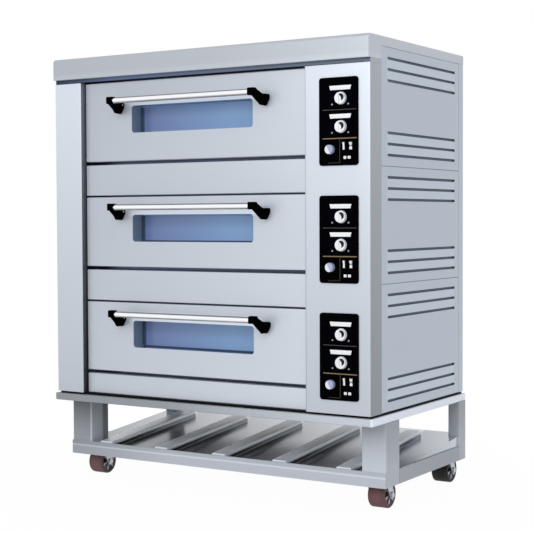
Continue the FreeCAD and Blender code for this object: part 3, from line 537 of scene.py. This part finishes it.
def show_white(tree, plain, white, output, share=None):
    """Sends a plain shader to an output, and a white one to what the camera, metal and glass see of it."""
    def combined(operation, first, second):
        node = tree.nodes.new("ShaderNodeMath")
        node.operation = operation
        tree.links.new(first, node.inputs[0])
        tree.links.new(second, node.inputs[1])
        return node.outputs[0]

    path = tree.nodes.new("ShaderNodeLightPath")
    seen = path.outputs["Is Camera Ray"]
    for ray in ("Is Glossy Ray", "Is Transmission Ray"):
        seen = combined("MAXIMUM", seen, path.outputs[ray])
    if share:
        seen = combined("MULTIPLY", seen, share.socket)
    blend = tree.nodes.new("ShaderNodeMixShader")
    tree.links.new(seen, blend.inputs[0])
    tree.links.new(plain.outputs[0], blend.inputs[1])
    tree.links.new(white.outputs[0], blend.inputs[2])
    tree.links.new(blend.outputs[0], output.inputs["Surface"])


# ---- modelling helpers ---------------------------------------------------------------------------
def deselect():
    bpy.ops.object.select_all(action="DESELECT")


def started(name):
    """Names the primitive that was just added and leaves it alone in the selection."""
    piece = bpy.context.active_object
    piece.name = name
    piece.data.name = name
    return piece


def block(name, centre, size):
    deselect()
    bpy.ops.mesh.primitive_cube_add(size=1.0, location=centre)
    return settled(name, size)


def disc(name, centre, radius, depth, corners, axis="Y"):
    """Cylinder with its far end turned to the front when its axis is Y."""
    turn = {"X": (0, math.pi / 2, 0), "Y": (math.pi / 2, 0, 0), "Z": (0, 0, 0)}[axis]
    deselect()
    bpy.ops.mesh.primitive_cylinder_add(vertices=corners, radius=radius, depth=depth, location=centre,
                                        rotation=turn)
    return settled(name)


def settled(name, size=(1, 1, 1)):
    """Names the primitive that was just added, and moves its place, turn and size into its mesh."""
    piece = started(name)
    piece.scale = size
    bpy.ops.object.transform_apply(location=True, rotation=True, scale=True)
    return piece


def pick(piece, kind, axis, side=0):
    """Enters edit mode with just the faces that look along an axis selected, or the edges that run along it.

    side 1 or -1 leaves out the faces that look down or up the axis.
    """
    def along(direction):
        reach = getattr(direction, axis)
        return (reach * side if side else abs(reach)) > 0.9

    bpy.context.view_layer.objects.active = piece
    bpy.ops.object.mode_set(mode="EDIT")
    bpy.ops.mesh.select_mode(type=kind)
    bpy.ops.mesh.select_all(action="DESELECT")
    bpy.ops.object.mode_set(mode="OBJECT")
    mesh = piece.data
    if kind == "FACE":
        for face in mesh.polygons:
            face.select = along(face.normal)
    else:
        for edge in mesh.edges:
            first, second = (mesh.vertices[i].co for i in edge.vertices)
            edge.select = along((second - first).normalized())
    bpy.ops.object.mode_set(mode="EDIT")


def extrude(shift):
    bpy.ops.mesh.extrude_region_move(TRANSFORM_OT_translate={"value": shift})


def stepped(piece, axis, side, *steps):
    """Insets one end of a disc, once for each step's thickness and depth."""
    pick(piece, "FACE", axis, side)
    for thickness, depth in steps:
        bpy.ops.mesh.inset(thickness=thickness, depth=depth)
    return done(piece)


def done(piece):
    """Leaves edit mode."""
    bpy.ops.object.mode_set(mode="OBJECT")
    return piece


def modified(piece, kind, **values):
    """Adds a modifier and applies it."""
    deselect()
    piece.select_set(True)
    bpy.context.view_layer.objects.active = piece
    modifier = piece.modifiers.new(kind.title(), kind)
    for name, value in values.items():
        setattr(modifier, name, value)
    bpy.ops.object.modifier_apply(modifier=modifier.name)


def softened(piece, width, segments=2):
    modified(piece, "BEVEL", width=width, segments=segments, limit_method="ANGLE",
             angle_limit=math.radians(40))
    bpy.ops.object.shade_smooth_by_angle(angle=math.radians(35))
    return piece


def fitted(piece, body, material):
    """Gives a finished piece its material and body."""
    piece.data.materials.clear()
    piece.data.materials.append(material)
    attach(piece, body)


def copied(piece, name, shift):
    """Another piece with its own mesh, moved by a shift."""
    twin = piece.copy()
    twin.data = piece.data.copy()
    twin.name = name
    bpy.context.scene.collection.objects.link(twin)
    twin.data.transform(Matrix.Translation(shift))
    return twin


def joined(pieces, name):
    deselect()
    for piece in pieces:
        piece.select_set(True)
    bpy.context.view_layer.objects.active = pieces[0]
    bpy.ops.object.join()
    return started(name)


def dress(node, material):
    """Gives a frame node its finish, and lets the facets of a curve shade as one surface."""
    piece = NODES[node]
    piece.data.materials.clear()
    piece.data.materials.append(material)
    weld = piece.modifiers.new("Weld", "WELD")
    weld.merge_threshold = 0.00001
    crease = piece.modifiers.new("Crease", "EDGE_SPLIT")
    crease.split_angle = math.radians(28)
    for face in piece.data.polygons:
        face.use_smooth = True


# ---- operators -----------------------------------------------------------------------------------
class OVEN_OT_casing(bpy.types.Operator):
    """Finishes the casing and the plates in its gaps, and adds panel screws, cheeks and baffles"""

    bl_idname = "oven.casing"
    bl_label = "Casing"

    def execute(self, context):
        tones = settings()[0]
        low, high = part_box("control_column")
        self.front = low.y
        self.heights = (low.z, high.z)
        self.side = high.x - 0.001
        self.gap_x = low.x
        self.return_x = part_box("left_column")[1].x
        upright = brushed("Column sheet", tones.casing, GRAIN_Z, changes=self.column)
        for node in ("control_column", "left_column"):
            dress(node, upright)
        dress("canopy", brushed("Canopy sheet", tones.canopy, GRAIN_X, changes=self.canopy))
        dress("back_panel", brushed("Back sheet", tones.flank, GRAIN_X))
        for node in ("right_side_panels", "left_side_panel"):
            dress(node, brushed("Side sheet " + node, tones.flank, GRAIN_Y, changes=self.louvres))
        dress("deck_fascias", brushed("Fixed panel sheet", tones.door, GRAIN_X, changes=painted_door_light))
        dress("inner_frame", blued_plate("Blued plate", tones.blued))
        # Painted shade: the base pan is near-black to stand for the shadow in the gap between the stand and
        # the casing
        dress("base_pan", moulded("Pan enamel", (0.0015, 0.0015, 0.002, 1.0), roughness=0.6, shine=0.1))
        self.screws(polished("Panel screw", (0.62, 0.63, 0.66, 1.0), roughness=0.28))
        self.cheeks(upright)
        self.baffles(painted("Baffle enamel", (0.080, 0.108, 0.160, 1.0), roughness=0.5,
                             changes=self.painted_baffle_light))
        return {"FINISHED"}

    def cheeks(self, material):
        """Folded strips that close the gap between each column's side and the canopy."""
        low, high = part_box("control_column")
        back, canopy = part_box("right_side_panels")[0].y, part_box("canopy")[0].z
        tall = canopy - high.z - 0.0006
        strips = []
        for side in (-1, 1):
            place = (side * (high.x - 0.0010), (low.y + back) / 2 + 0.0015, (canopy + high.z) / 2)
            strip = block("cheek", place, (0.0012, back - low.y - 0.004, tall))
            pick(strip, "FACE", "z", 1)
            extrude((-side * 0.006, 0, 0))
            strips.append(softened(done(strip), 0.0003, 1))
        fitted(joined(strips, "canopy_cheeks"), "oven", material)

    def baffles(self, material):
        """Enamelled plates behind the slots, which keep fingers off the wiring, with their ends turned in;
        their dark colour is painted shade for the inside seen through the slots.
        """
        low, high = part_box("right_side_panels")
        plates = []
        for seam, sign in self.seams(low, high):
            place = (high.x - 0.0060, (low.y + high.y) / 2, seam + sign * SLOTS_OFF)
            plate = block("baffle", place, (0.0010, 0.545, 0.085))
            pick(plate, "FACE", "y")
            extrude((-0.004, 0, 0))
            plates.append(softened(done(plate), 0.0002, 1))
        fitted(joined(plates, "louvre_baffles"), "oven", material)

    def painted_baffle_light(self, finish, x, y, z):
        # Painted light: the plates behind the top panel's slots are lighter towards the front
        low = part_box("right_side_panels")[0]
        return finish.tide(y, low.y + 0.03, low.y + 0.25, 1.3, 0.0) * (z > low.z + 0.9)

    def seams(self, low, high):
        """Edges of the three panels that carry slots, each with the side on which its slots lie."""
        edges = (low.z, low.z + 0.418, low.z + 0.8, high.z)
        return [seam for foot, top in zip(edges, edges[1:]) for seam in ((foot, 1), (top, -1))]

    def screws(self, material):
        """Pan-head screws with washers round the edge of the back panel."""
        low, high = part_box("back_panel")
        inset = 0.018
        left, right, foot, top = low.x + inset, high.x - inset, low.z + inset, high.z - inset
        places = [(left + (right - left) * i / 5, z) for i in range(6) for z in (foot, top)]
        places += [(x, foot + (top - foot) * i / 4) for i in range(1, 4) for x in (left, right)]
        head = disc("panel_screws", (0, high.y + 0.0008, 0), 0.0075, 0.0014, corners=32)
        pick(head, "FACE", "y", 1)
        bpy.ops.mesh.inset(thickness=0.0030)
        extrude((0, 0.0022, 0))
        bpy.ops.mesh.inset(thickness=0.0012, depth=0.0005)
        bpy.ops.mesh.inset(thickness=0.0012, depth=-0.0012)
        softened(done(head), 0.0003, 1)
        heads = [copied(head, "panel_screw", (x, 0, z)) for x, z in places]
        bpy.data.objects.remove(head)
        fitted(joined(heads, "back_panel_screws"), "oven", material)

    def column(self, finish, x, y, z):
        """Painted light and shade: lighter towards the top, painted shade down the side faces and on the
        return beside the doors, and a painted shadow line on the front beside the gap to the doors.
        """
        corner = (abs(x) > self.side) * 0.33
        turned = (abs(x - self.return_x) < 0.0007) * (y > self.front + 0.0025) * 0.74
        edge = finish.band(x, self.gap_x + 0.0022, 0.0016, 0.0030, 0.24) * (y < self.front + 0.001)
        return finish.tide(z, *self.heights, -0.20, 0.06) - corner - turned - edge

    def canopy(self, finish, x, y, z):
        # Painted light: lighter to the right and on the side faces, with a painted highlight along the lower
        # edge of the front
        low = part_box("canopy")[0]
        lip = finish.tide(z, low.z + 0.010, low.z + 0.022, 0.09, 0.0)
        return finish.tide(x, *WIDE, -0.03, 0.05) + (abs(x) > self.side) * 0.32 + lip

    def louvres(self, finish, x, y, z):
        """Painted highlight: the sheet is painted lighter over each group of slots, between the slots."""
        amount = 0.0
        low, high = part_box("right_side_panels")
        for seam, sign in self.seams(low, high):
            amount = finish.band(z, seam + sign * SLOTS_OFF, 0.030, 0.040, 0.10) + amount
        return amount * finish.band(y, (low.y + high.y) / 2, 0.262, 0.272)


class OVEN_OT_stand(bpy.types.Operator):
    """Finishes the stand, its shelf and the casters, and adds the wheel centres and their spokes"""

    bl_idname = "oven.stand"
    bl_label = "Stand and casters"

    def execute(self, context):
        tones = settings()[0]
        low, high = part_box("caster_wheel_front_right")
        self.wheel_half = (high.x - low.x) / 2
        dress("stand_legs", painted("Leg paint", tones.stand, changes=self.legs))
        dress("stand_lower_frame", painted("Rail paint", tones.stand, changes=self.rails))
        dress("stand_top_frame", painted("Plinth paint", tones.stand, changes=self.plinth))
        dress("shelf", shelf_sheet("Shelf sheet", tones.stand))
        plated = zinc_plate("Zinc plate", tones.zinc)
        dress("caster_plates", plated)
        for place in CASTERS:
            dress("caster_fork_" + place, plated)
            # Painted shade: the rear right tread is near-black for the stand's shade on it; the other three
            # wheels use the brown tread
            tone = (0.012, 0.012, 0.013, 1.0) if place == "rear_right" else tones.tread
            dress("caster_wheel_" + place, rubber("Tread " + place, tone, middle("caster_wheel_" + place)))
            self.hub(place)
        return {"FINISHED"}

    def legs(self, finish, x, y, z):
        # Painted light and shade: darker towards the top and to the left, a painted highlight line by the
        # front right edge of the left front leg, and painted light on the front of that leg's inner side
        low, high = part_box("stand_legs")
        corner = low.x + 0.090
        painted_highlight_line = finish.band(x, corner - 0.003, 0.0016, 0.0045, 0.42) * (y < low.y + 0.003)
        inner = (abs(x - corner) < 0.002) * (y > low.y + 0.003)
        inner = inner * finish.tide(y, low.y + 0.06, low.y + 0.07, 0.55, 0.0)
        shade = finish.tide(z, low.z + 0.06, high.z - 0.02, 0.0, -0.24)
        return shade + finish.tide(x, -0.5, 0.5, -0.50, -0.06) + painted_highlight_line + inner

    def rails(self, finish, x, y, z):
        """Painted shade to the left and down the right side, with a painted highlight line near the top of the
        front rail and a painted shadow line above it.
        """
        low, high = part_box("stand_lower_frame")
        front = y < low.y + 0.001
        painted_highlight_line = finish.band(z, high.z - 0.017, 0.0014, 0.0036, 0.26) * front
        over = finish.tide(z, high.z - 0.014, high.z - 0.011, 0.0, -0.10) * front
        side = finish.tide(x, high.x - 0.010, high.x - 0.004, 0.0, -0.12) * (y > low.y + 0.05)
        return finish.tide(x, WIDE[0], -0.20, -0.46, -0.14) + painted_highlight_line + over + side

    def plinth(self, finish, x, y, z):
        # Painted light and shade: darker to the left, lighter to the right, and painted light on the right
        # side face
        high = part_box("stand_top_frame")[1]
        side = finish.tide(x, high.x - 0.008, high.x - 0.001, 0.0, 0.80)
        return finish.tide(x, WIDE[0], -0.20, -0.56, -0.52) + finish.tide(x, -0.20, 0.55, 0.0, 0.46) + side

    def hub(self, place):
        """Recessed plastic centre with six spokes, one on each side of the wheel."""
        node = "caster_wheel_" + place
        low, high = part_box(node)
        centre = (low + high) / 2
        radius = (high.z - low.z) / 2
        black = moulded("Wheel centre " + place, (0.012, 0.012, 0.018, 1.0), roughness=0.3)
        pale = moulded("Wheel spokes " + place, (0.55, 0.58, 0.64, 1.0), roughness=0.3)
        for side, label in ((-1, "left"), (1, "right")):
            x = centre.x + side * (self.wheel_half - 0.0065)
            rim = disc("wheel_rim_%s_%s" % (place, label), (x, centre.y, centre.z), radius - 0.0105, 0.0020,
                       axis="X", corners=48)
            softened(stepped(rim, "x", side, (0.003, 0.0), (0.0006, -0.0008)), 0.0003, 1)
            fitted(rim, "wheel_" + place, black)
            spokes = []
            for i in range(6):
                turn = i * math.pi / 3 + 0.3
                middle_y = centre.y + SPOKE_REACH * math.cos(turn)
                middle_z = centre.z + SPOKE_REACH * math.sin(turn)
                spoke = block("spoke", (x + side * 0.0016, middle_y, middle_z), (0.0022, 0.018, 0.005))
                pick(spoke, "FACE", "y", 1)
                bpy.ops.transform.resize(value=(1, 1, 1.7))
                done(spoke)
                spoke.data.transform(Matrix.Translation((0, middle_y, middle_z))
                                     @ Matrix.Rotation(turn, 4, "X")
                                     @ Matrix.Translation((0, -middle_y, -middle_z)))
                spokes.append(spoke)
            spokes = joined(spokes, "wheel_spokes_%s_%s" % (place, label))
            softened(spokes, 0.0006)
            fitted(spokes, "wheel_" + place, pale)


class OVEN_OT_doors(bpy.types.Operator):
    """Finishes the doors and their windows, and makes their handles, seals and screws"""

    bl_idname = "oven.doors"
    bl_label = "Doors"

    def execute(self, context):
        tones, sizes = settings()
        plug = brushed("Door plug", tinted(tones.door, (0.7, 0.7, 0.7)), GRAIN_X, roughness=0.45)
        pane = window_pane("Tinted pane", tones.glass)
        bar = polished_bar("Polished bar", (0.93, 0.93, 0.95, 1.0))
        black = moulded("Black moulding", tones.moulding, roughness=0.6, shine=0.0)
        steel = polished("Steel screw", (0.62, 0.63, 0.65, 1.0), roughness=0.3)
        for deck in DECKS:
            dress("door_skin_" + deck, door_sheet("Door sheet " + deck, tones.door, tones.jamb, deck))
            dress("door_inner_" + deck, plug)
            dress("door_glass_" + deck, pane)
            self.bar(deck, bar)
            brackets = joined([self.bracket(deck, side) for side in (-1, 1)], "brackets_" + deck)
            fitted(brackets, "door_" + deck, black)
            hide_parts("handle_brackets_" + deck)
            self.seal(deck, sizes, tones)
            self.screws(deck, steel)
        return {"FINISHED"}

    def seal(self, deck, sizes, tones):
        """Tinted lip that holds the outer pane in its frame, navy along its foot, and navy at its left end as
        painted shade.
        """
        low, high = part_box("door_glass_" + deck)
        width, height = high.x - low.x - 2 * PANE_LAP, high.z - low.z - 2 * PANE_LAP
        centre = ((low.x + high.x) / 2, low.y - 0.0016, (low.z + high.z) / 2)
        lip = block("window_seal_" + deck, centre, (width - 0.0004, 0.003, height - 0.0004))
        pick(lip, "EDGE", "y")
        bpy.ops.mesh.bevel(offset=0.0105, segments=6)
        done(lip)
        pick(lip, "FACE", "y")
        bpy.ops.mesh.inset(thickness=sizes.seal_width)
        bpy.ops.mesh.bridge_edge_loops()
        softened(done(lip), 0.0007)
        finish = Finish("Seal " + deck, roughness=0.5)
        x, _, z = finish.axes()
        grain = finish.noise(500.0)
        navy = finish.tide(x, centre[0] - width / 2 + 0.006, centre[0] - width / 2 + 0.008, 1.0, 0.0)
        navy = (navy + (z < centre[2] - height / 2 + 0.006)).limited()
        tint = finish.shade(tinted(tones.glass, (0.8, 0.8, 0.8)), (grain - 0.5) * 0.2)
        finish.set("Base Color", finish.mix(navy, tint, (0.030, 0.050, 0.10, 1.0)))
        finish.bump(grain, 0.0001, 0.3)
        fitted(lip, "door_" + deck, finish.material)

    def bar(self, deck, material):
        """Round bar that ends inside the caps."""
        low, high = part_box("handle_bar_" + deck)
        radius, reach = (high.z - low.z) / 2, high.x - low.x - 0.014
        bar = disc("bar_" + deck, (low + high) / 2, radius, reach, axis="X", corners=64)
        softened(bar, 0.002, 3)
        fitted(bar, "door_" + deck, material)
        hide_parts("handle_bar_" + deck)

    def seat(self, deck, side):
        """Where a bracket's cap holds the bar, and the middle, top and back of its foot on the door."""
        low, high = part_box("handle_bar_" + deck)
        cap = (low + high) / 2
        cap.x = high.x - 0.010 if side > 0 else low.x + 0.010
        lift = {"bottom": 0.0, "middle": 0.003, "top": 0.006}[deck]
        foot = Vector((cap.x + side * 0.0052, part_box("handle_brackets_" + deck)[1].y, cap.z - 0.0095 + lift))
        return cap, foot

    def bracket(self, deck, side):
        """Handle bracket: a shield-shaped foot, a web that rises from it and a cap over the bar's end."""
        cap, foot = self.seat(deck, side)
        deep, shoulder, tall = 0.030, 0.0160, 0.0385
        shield = block("foot", (foot.x, foot.y - deep / 2, foot.z - shoulder / 2), (0.035, deep, shoulder))
        pick(shield, "FACE", "z", -1)
        extrude((0, 0, shoulder - tall))
        bpy.ops.transform.resize(value=(0.28, 1, 1))
        done(shield)
        pick(shield, "EDGE", "y")
        bpy.ops.mesh.bevel(offset=0.0045, segments=4)
        done(shield)
        pick(shield, "FACE", "y", -1)
        bpy.ops.transform.resize(value=(0.96, 1, 0.96))
        done(shield)
        web = block("web", (cap.x, cap.y + 0.006, cap.z + 0.001), (0.015, 0.012, 0.0245))
        pick(web, "FACE", "y", 1)
        web_drop = foot.z - 0.0170 - (cap.z + 0.001)
        bpy.ops.transform.translate(value=(side * 0.0034, foot.y - deep + 0.004 - cap.y - 0.012, web_drop))
        bpy.ops.transform.resize(value=(1.15, 1, 1.27))
        done(web)
        head = block("cap", (cap.x - side * 0.005, cap.y, cap.z + 0.001), (0.022, 0.026, 0.025))
        pick(head, "EDGE", "x")
        bpy.ops.mesh.bevel(offset=0.005, segments=5)
        done(head)
        for part in (web, head):
            modified(shield, "BOOLEAN", object=part, operation="UNION", solver="EXACT")
            bpy.data.objects.remove(part)
        return softened(shield, 0.0015)

    def screws(self, deck, material):
        """Grub screw in the foot of each handle bracket, on the side towards the window."""
        heads = []
        for side in (-1, 1):
            foot = self.seat(deck, side)[1]
            place = (foot.x - side * 0.0175, foot.y - 0.0110, foot.z - 0.0080)
            head = disc("screw", place, 0.0028, 0.0012, axis="X", corners=16)
            heads.append(stepped(head, "x", -side, (0.0008, -0.0004)))
        screws = joined(heads, "bracket_screws_" + deck)
        fitted(softened(screws, 0.0002, 1), "door_" + deck, material)


class OVEN_OT_controls(bpy.types.Operator):
    """Finishes the controls and adds scale strips, lines, screws, pointers and red lenses"""

    bl_idname = "oven.controls"
    bl_label = "Controls"

    def execute(self, context):
        tones, sizes = settings()
        black = moulded("Control plate", tones.moulding, roughness=0.55, shine=0.0)
        bezel = moulded("Bezel", (0.0015, 0.0015, 0.004, 1.0), roughness=0.6, shine=0.0)
        white = moulded("White moulding", tones.dial, roughness=0.4)
        plated = polished("Plated trim", (0.30, 0.31, 0.34, 1.0), roughness=0.3)
        dress("control_panels", black)
        dress("thermostats", bezel)
        dress("lamps", lamp_glass("Lamp glass"))
        for key in DIALS:
            dress("dial_knob_" + key, white)
        for deck in DECKS:
            dress("push_button_" + deck, button_cap("Button cap " + deck, tones.button, deck))
            dress("rocker_%s_left" % deck, white)
            dress("rocker_%s_right" % deck, lit_rocker("Lit rocker " + deck, tones, deck))
        self.strips(sizes, white)
        self.screws(sizes, plated)
        self.crescents(moulded("Pointer", (0.002, 0.002, 0.006, 1.0), shine=0.2))
        self.lines(sizes, tones)
        self.lenses(moulded("Red lens", tones.red, roughness=0.2))
        return {"FINISHED"}

    def strips(self, sizes, material):
        """White scale strip, narrower at its lower edge, over each dial."""
        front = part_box("thermostats")[0].y
        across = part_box("thermostats")[0].x + BEZEL_WIDTH / 2
        for key in DIALS:
            dial = middle("dial_knob_" + key)
            centre = Vector((across, front - 0.0005, dial.z + sizes.strip_rise))
            strip = block("scale_strip_" + key, centre,
                          (sizes.strip_width, 0.003, sizes.strip_height))
            pick(strip, "FACE", "z", -1)
            bpy.ops.transform.resize(value=(0.91, 1, 1))
            softened(done(strip), 0.0008)
            fitted(strip, "oven", material)

    def screws(self, sizes, material):
        """Two small screws in the lower corners of each bezel."""
        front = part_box("thermostats")[0].y
        for key in DIALS:
            dial = middle("dial_knob_" + key)
            heads = []
            for shift in (-0.0325, 0.0266):
                place = (dial.x + shift, front - 0.0006, dial.z - 0.0190)
                head = disc("screw", place, sizes.screw_radius, 0.002, corners=16)
                heads.append(stepped(head, "y", -1, (0.0009, 0.0003), (0.0006, -0.0005)))
            screws = joined(heads, "bezel_screws_" + key)
            fitted(softened(screws, 0.0002, 1), "oven", material)

    def crescents(self, material):
        """Black crescent let into each dial beside its grip."""
        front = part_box("thermostats")[0].y - 0.0101
        for key in DIALS:
            dial = middle("dial_knob_" + key)
            place = (dial.x + 0.0038, front, dial.z + 0.0030)
            crescent = disc("dial_pointer_" + key, place, 0.0113, 0.0012, corners=64)
            bite = disc("bite", (dial.x - 0.0082, front, dial.z - 0.0030), 0.0140, 0.01, corners=64)
            modified(crescent, "BOOLEAN", object=bite, operation="DIFFERENCE", solver="EXACT")
            bpy.data.objects.remove(bite)
            softened(crescent, 0.0003, 1)
            fitted(crescent, "dial_" + key, material)

    def plate(self, deck):
        """Middle, front and foot of a control plate."""
        foot = middle("dial_knob_%s_lower" % deck).z - PLATE_FOOT
        return middle("control_panels").x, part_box("control_panels")[0].y, foot

    def lines(self, sizes, tones):
        """Fine lines that part the dials from each other and from the switches."""
        gold = moulded("Gold line", tones.gold, roughness=0.5, shine=0.2)
        olive = moulded("Brown line", (0.060, 0.050, 0.033, 1.0), roughness=0.6, shine=0.1)
        grey = moulded("Grey line", (0.10, 0.095, 0.085, 1.0), roughness=0.6, shine=0.2)
        cell = {
            "line_upper": (grey, (0.0045, 0.178), (0.123, 0.0016)),
            "line_lower": (gold, (0.0045, 0.0865), (0.124, sizes.line_width)),
            "line_upright": (olive, (0.0053, 0.046), (0.0022, 0.0750)),
            "line_foot": (olive, (-0.0166, 0.0086), (0.0438, 0.0016)),
        }
        for deck in DECKS:
            centre, front, foot = self.plate(deck)
            for name, (material, (right, up), (across, tall)) in cell.items():
                place = (centre + right, front - 0.0001, foot + up)
                line = block("%s_%s" % (name, deck), place, (across, 0.0006, tall))
                softened(line, 0.0002, 1)
                fitted(line, "oven", material)

    def lenses(self, material):
        """Small red lens between the two pilot lamps."""
        for deck in DECKS:
            centre, front, foot = self.plate(deck)
            place = (centre + 0.0328, front - 0.0006, foot + 0.0250)
            lens = disc("red_lens_" + deck, place, 0.0028, 0.0026, corners=24)
            softened(stepped(lens, "y", -1, (0.0009, 0.0006)), 0.0002, 1)
            fitted(lens, "oven", material)


class OVEN_OT_chambers(bpy.types.Operator):
    """Finishes what is inside: liners, hearths, elements, wool and switchgear"""

    bl_idname = "oven.chambers"
    bl_label = "Chambers"

    def execute(self, context):
        tones = settings()[0]
        liner = brushed("Chamber liner", (0.30, 0.29, 0.28, 1.0), (9.0, 9.0, 500.0), roughness=0.5)
        dress("chamber_liners", liner)
        dress("hearth_plates", baking_stone("Baking stone", tones.stone))
        dress("heating_elements", heater_oxide("Element sheath"))
        dress("insulation", wool("Mineral wool", tones.wool))
        dress("switchgear", moulded("Switchgear plastic", (0.10, 0.105, 0.115, 1.0)))
        return {"FINISHED"}


class OVEN_OT_stage(bpy.types.Operator):
    """Sets the floor, the lights, the sky and the camera"""

    bl_idname = "oven.stage"
    bl_label = "Stage"

    def execute(self, context):
        stage = context.scene.oven_stage
        self.floor()
        self.sky(context.scene, stage)
        self.light("Key", stage.key, 3.2, (0.5, -4.5, 2.8), (0.0, -0.3, 0.9))
        self.camera(context.scene, stage)
        context.scene.view_settings.view_transform = "Standard"
        return {"FINISHED"}

    def floor(self):
        """White floor that keeps the oven's shadow and fades into the background away from it."""
        deselect()
        bpy.ops.mesh.primitive_plane_add(size=60.0, location=(0, 0, -0.0005))
        floor = started("floor")
        finish = Finish("Studio floor", roughness=0.9)
        finish.set("Base Color", (0.9, 0.9, 0.9, 1.0))
        finish.set("Specular IOR Level", 0.0)
        x, y, _ = finish.axes()
        away = finish.tide(abs(x) + abs(y), 0.9, 2.0, 0.975, 1.0)
        show_white(finish.tree, finish.shader, finish.tree.nodes.new("ShaderNodeEmission"),
                   finish.tree.nodes["Material Output"], away)
        floor.data.materials.append(finish.material)

    def sky(self, scene, stage):
        """Even light from all round, seen as white by the camera, in glass and in metal."""
        world = bpy.data.worlds.new("Studio")
        scene.world = world
        world.use_nodes = True
        tree = world.node_tree
        plain = tree.nodes["Background"]
        plain.inputs["Color"].default_value = (0.95, 0.97, 1.0, 1.0)
        plain.inputs["Strength"].default_value = stage.sky
        white = tree.nodes.new("ShaderNodeBackground")
        white.inputs["Color"].default_value = (1.0, 1.0, 1.0, 1.0)
        show_white(tree, plain, white, tree.nodes["World Output"])

    def light(self, name, power, size, place, target):
        deselect()
        bpy.ops.object.light_add(type="AREA", location=place)
        lamp = bpy.context.active_object
        lamp.name = name
        lamp.data.energy = power
        lamp.data.size = size
        lamp.rotation_euler = (Vector(target) - Vector(place)).to_track_quat("-Z", "Y").to_euler()

    def camera(self, scene, stage):
        deselect()
        bpy.ops.object.camera_add(location=stage.place)
        camera = bpy.context.active_object
        camera.name = "Camera"
        camera.data.lens = stage.focus
        camera.data.clip_end = 100.0
        heading = Matrix.Rotation(stage.turn, 3, "Z") @ Matrix.Rotation(math.pi / 2 - stage.tilt, 3, "X")
        camera.rotation_euler = (heading @ Matrix.Rotation(stage.roll, 3, "Z")).to_euler()
        scene.camera = camera


class OVEN_PT_panel(bpy.types.Panel):
    """Buttons and settings of the oven"""

    bl_label = "Deck Oven"
    bl_space_type = "VIEW_3D"
    bl_region_type = "UI"
    bl_category = "Deck Oven"

    def draw(self, context):
        for operator in OPERATORS:
            self.layout.operator(operator.bl_idname)
        for group in (context.scene.oven_colours, context.scene.oven_sizes, context.scene.oven_stage):
            box = self.layout.box()
            for name in group.__annotations__:
                box.prop(group, name)


GROUPS = {"oven_colours": OvenColours, "oven_sizes": OvenSizes, "oven_stage": OvenStage}
OPERATORS = (OVEN_OT_casing, OVEN_OT_stand, OVEN_OT_doors, OVEN_OT_controls, OVEN_OT_chambers, OVEN_OT_stage)


def register():
    for kind in (*GROUPS.values(), *OPERATORS, OVEN_PT_panel):
        bpy.utils.register_class(kind)
    for name, group in GROUPS.items():
        setattr(bpy.types.Scene, name, PointerProperty(type=group))


def unregister():
    for name in GROUPS:
        delattr(bpy.types.Scene, name)
    for kind in reversed((*GROUPS.values(), *OPERATORS, OVEN_PT_panel)):
        bpy.utils.unregister_class(kind)


def main():
    register()
    bpy.ops.oven.casing()
    bpy.ops.oven.stand()
    bpy.ops.oven.doors()
    bpy.ops.oven.controls()
    bpy.ops.oven.chambers()
    bpy.ops.oven.stage()


if __name__ == "__main__":
    main()
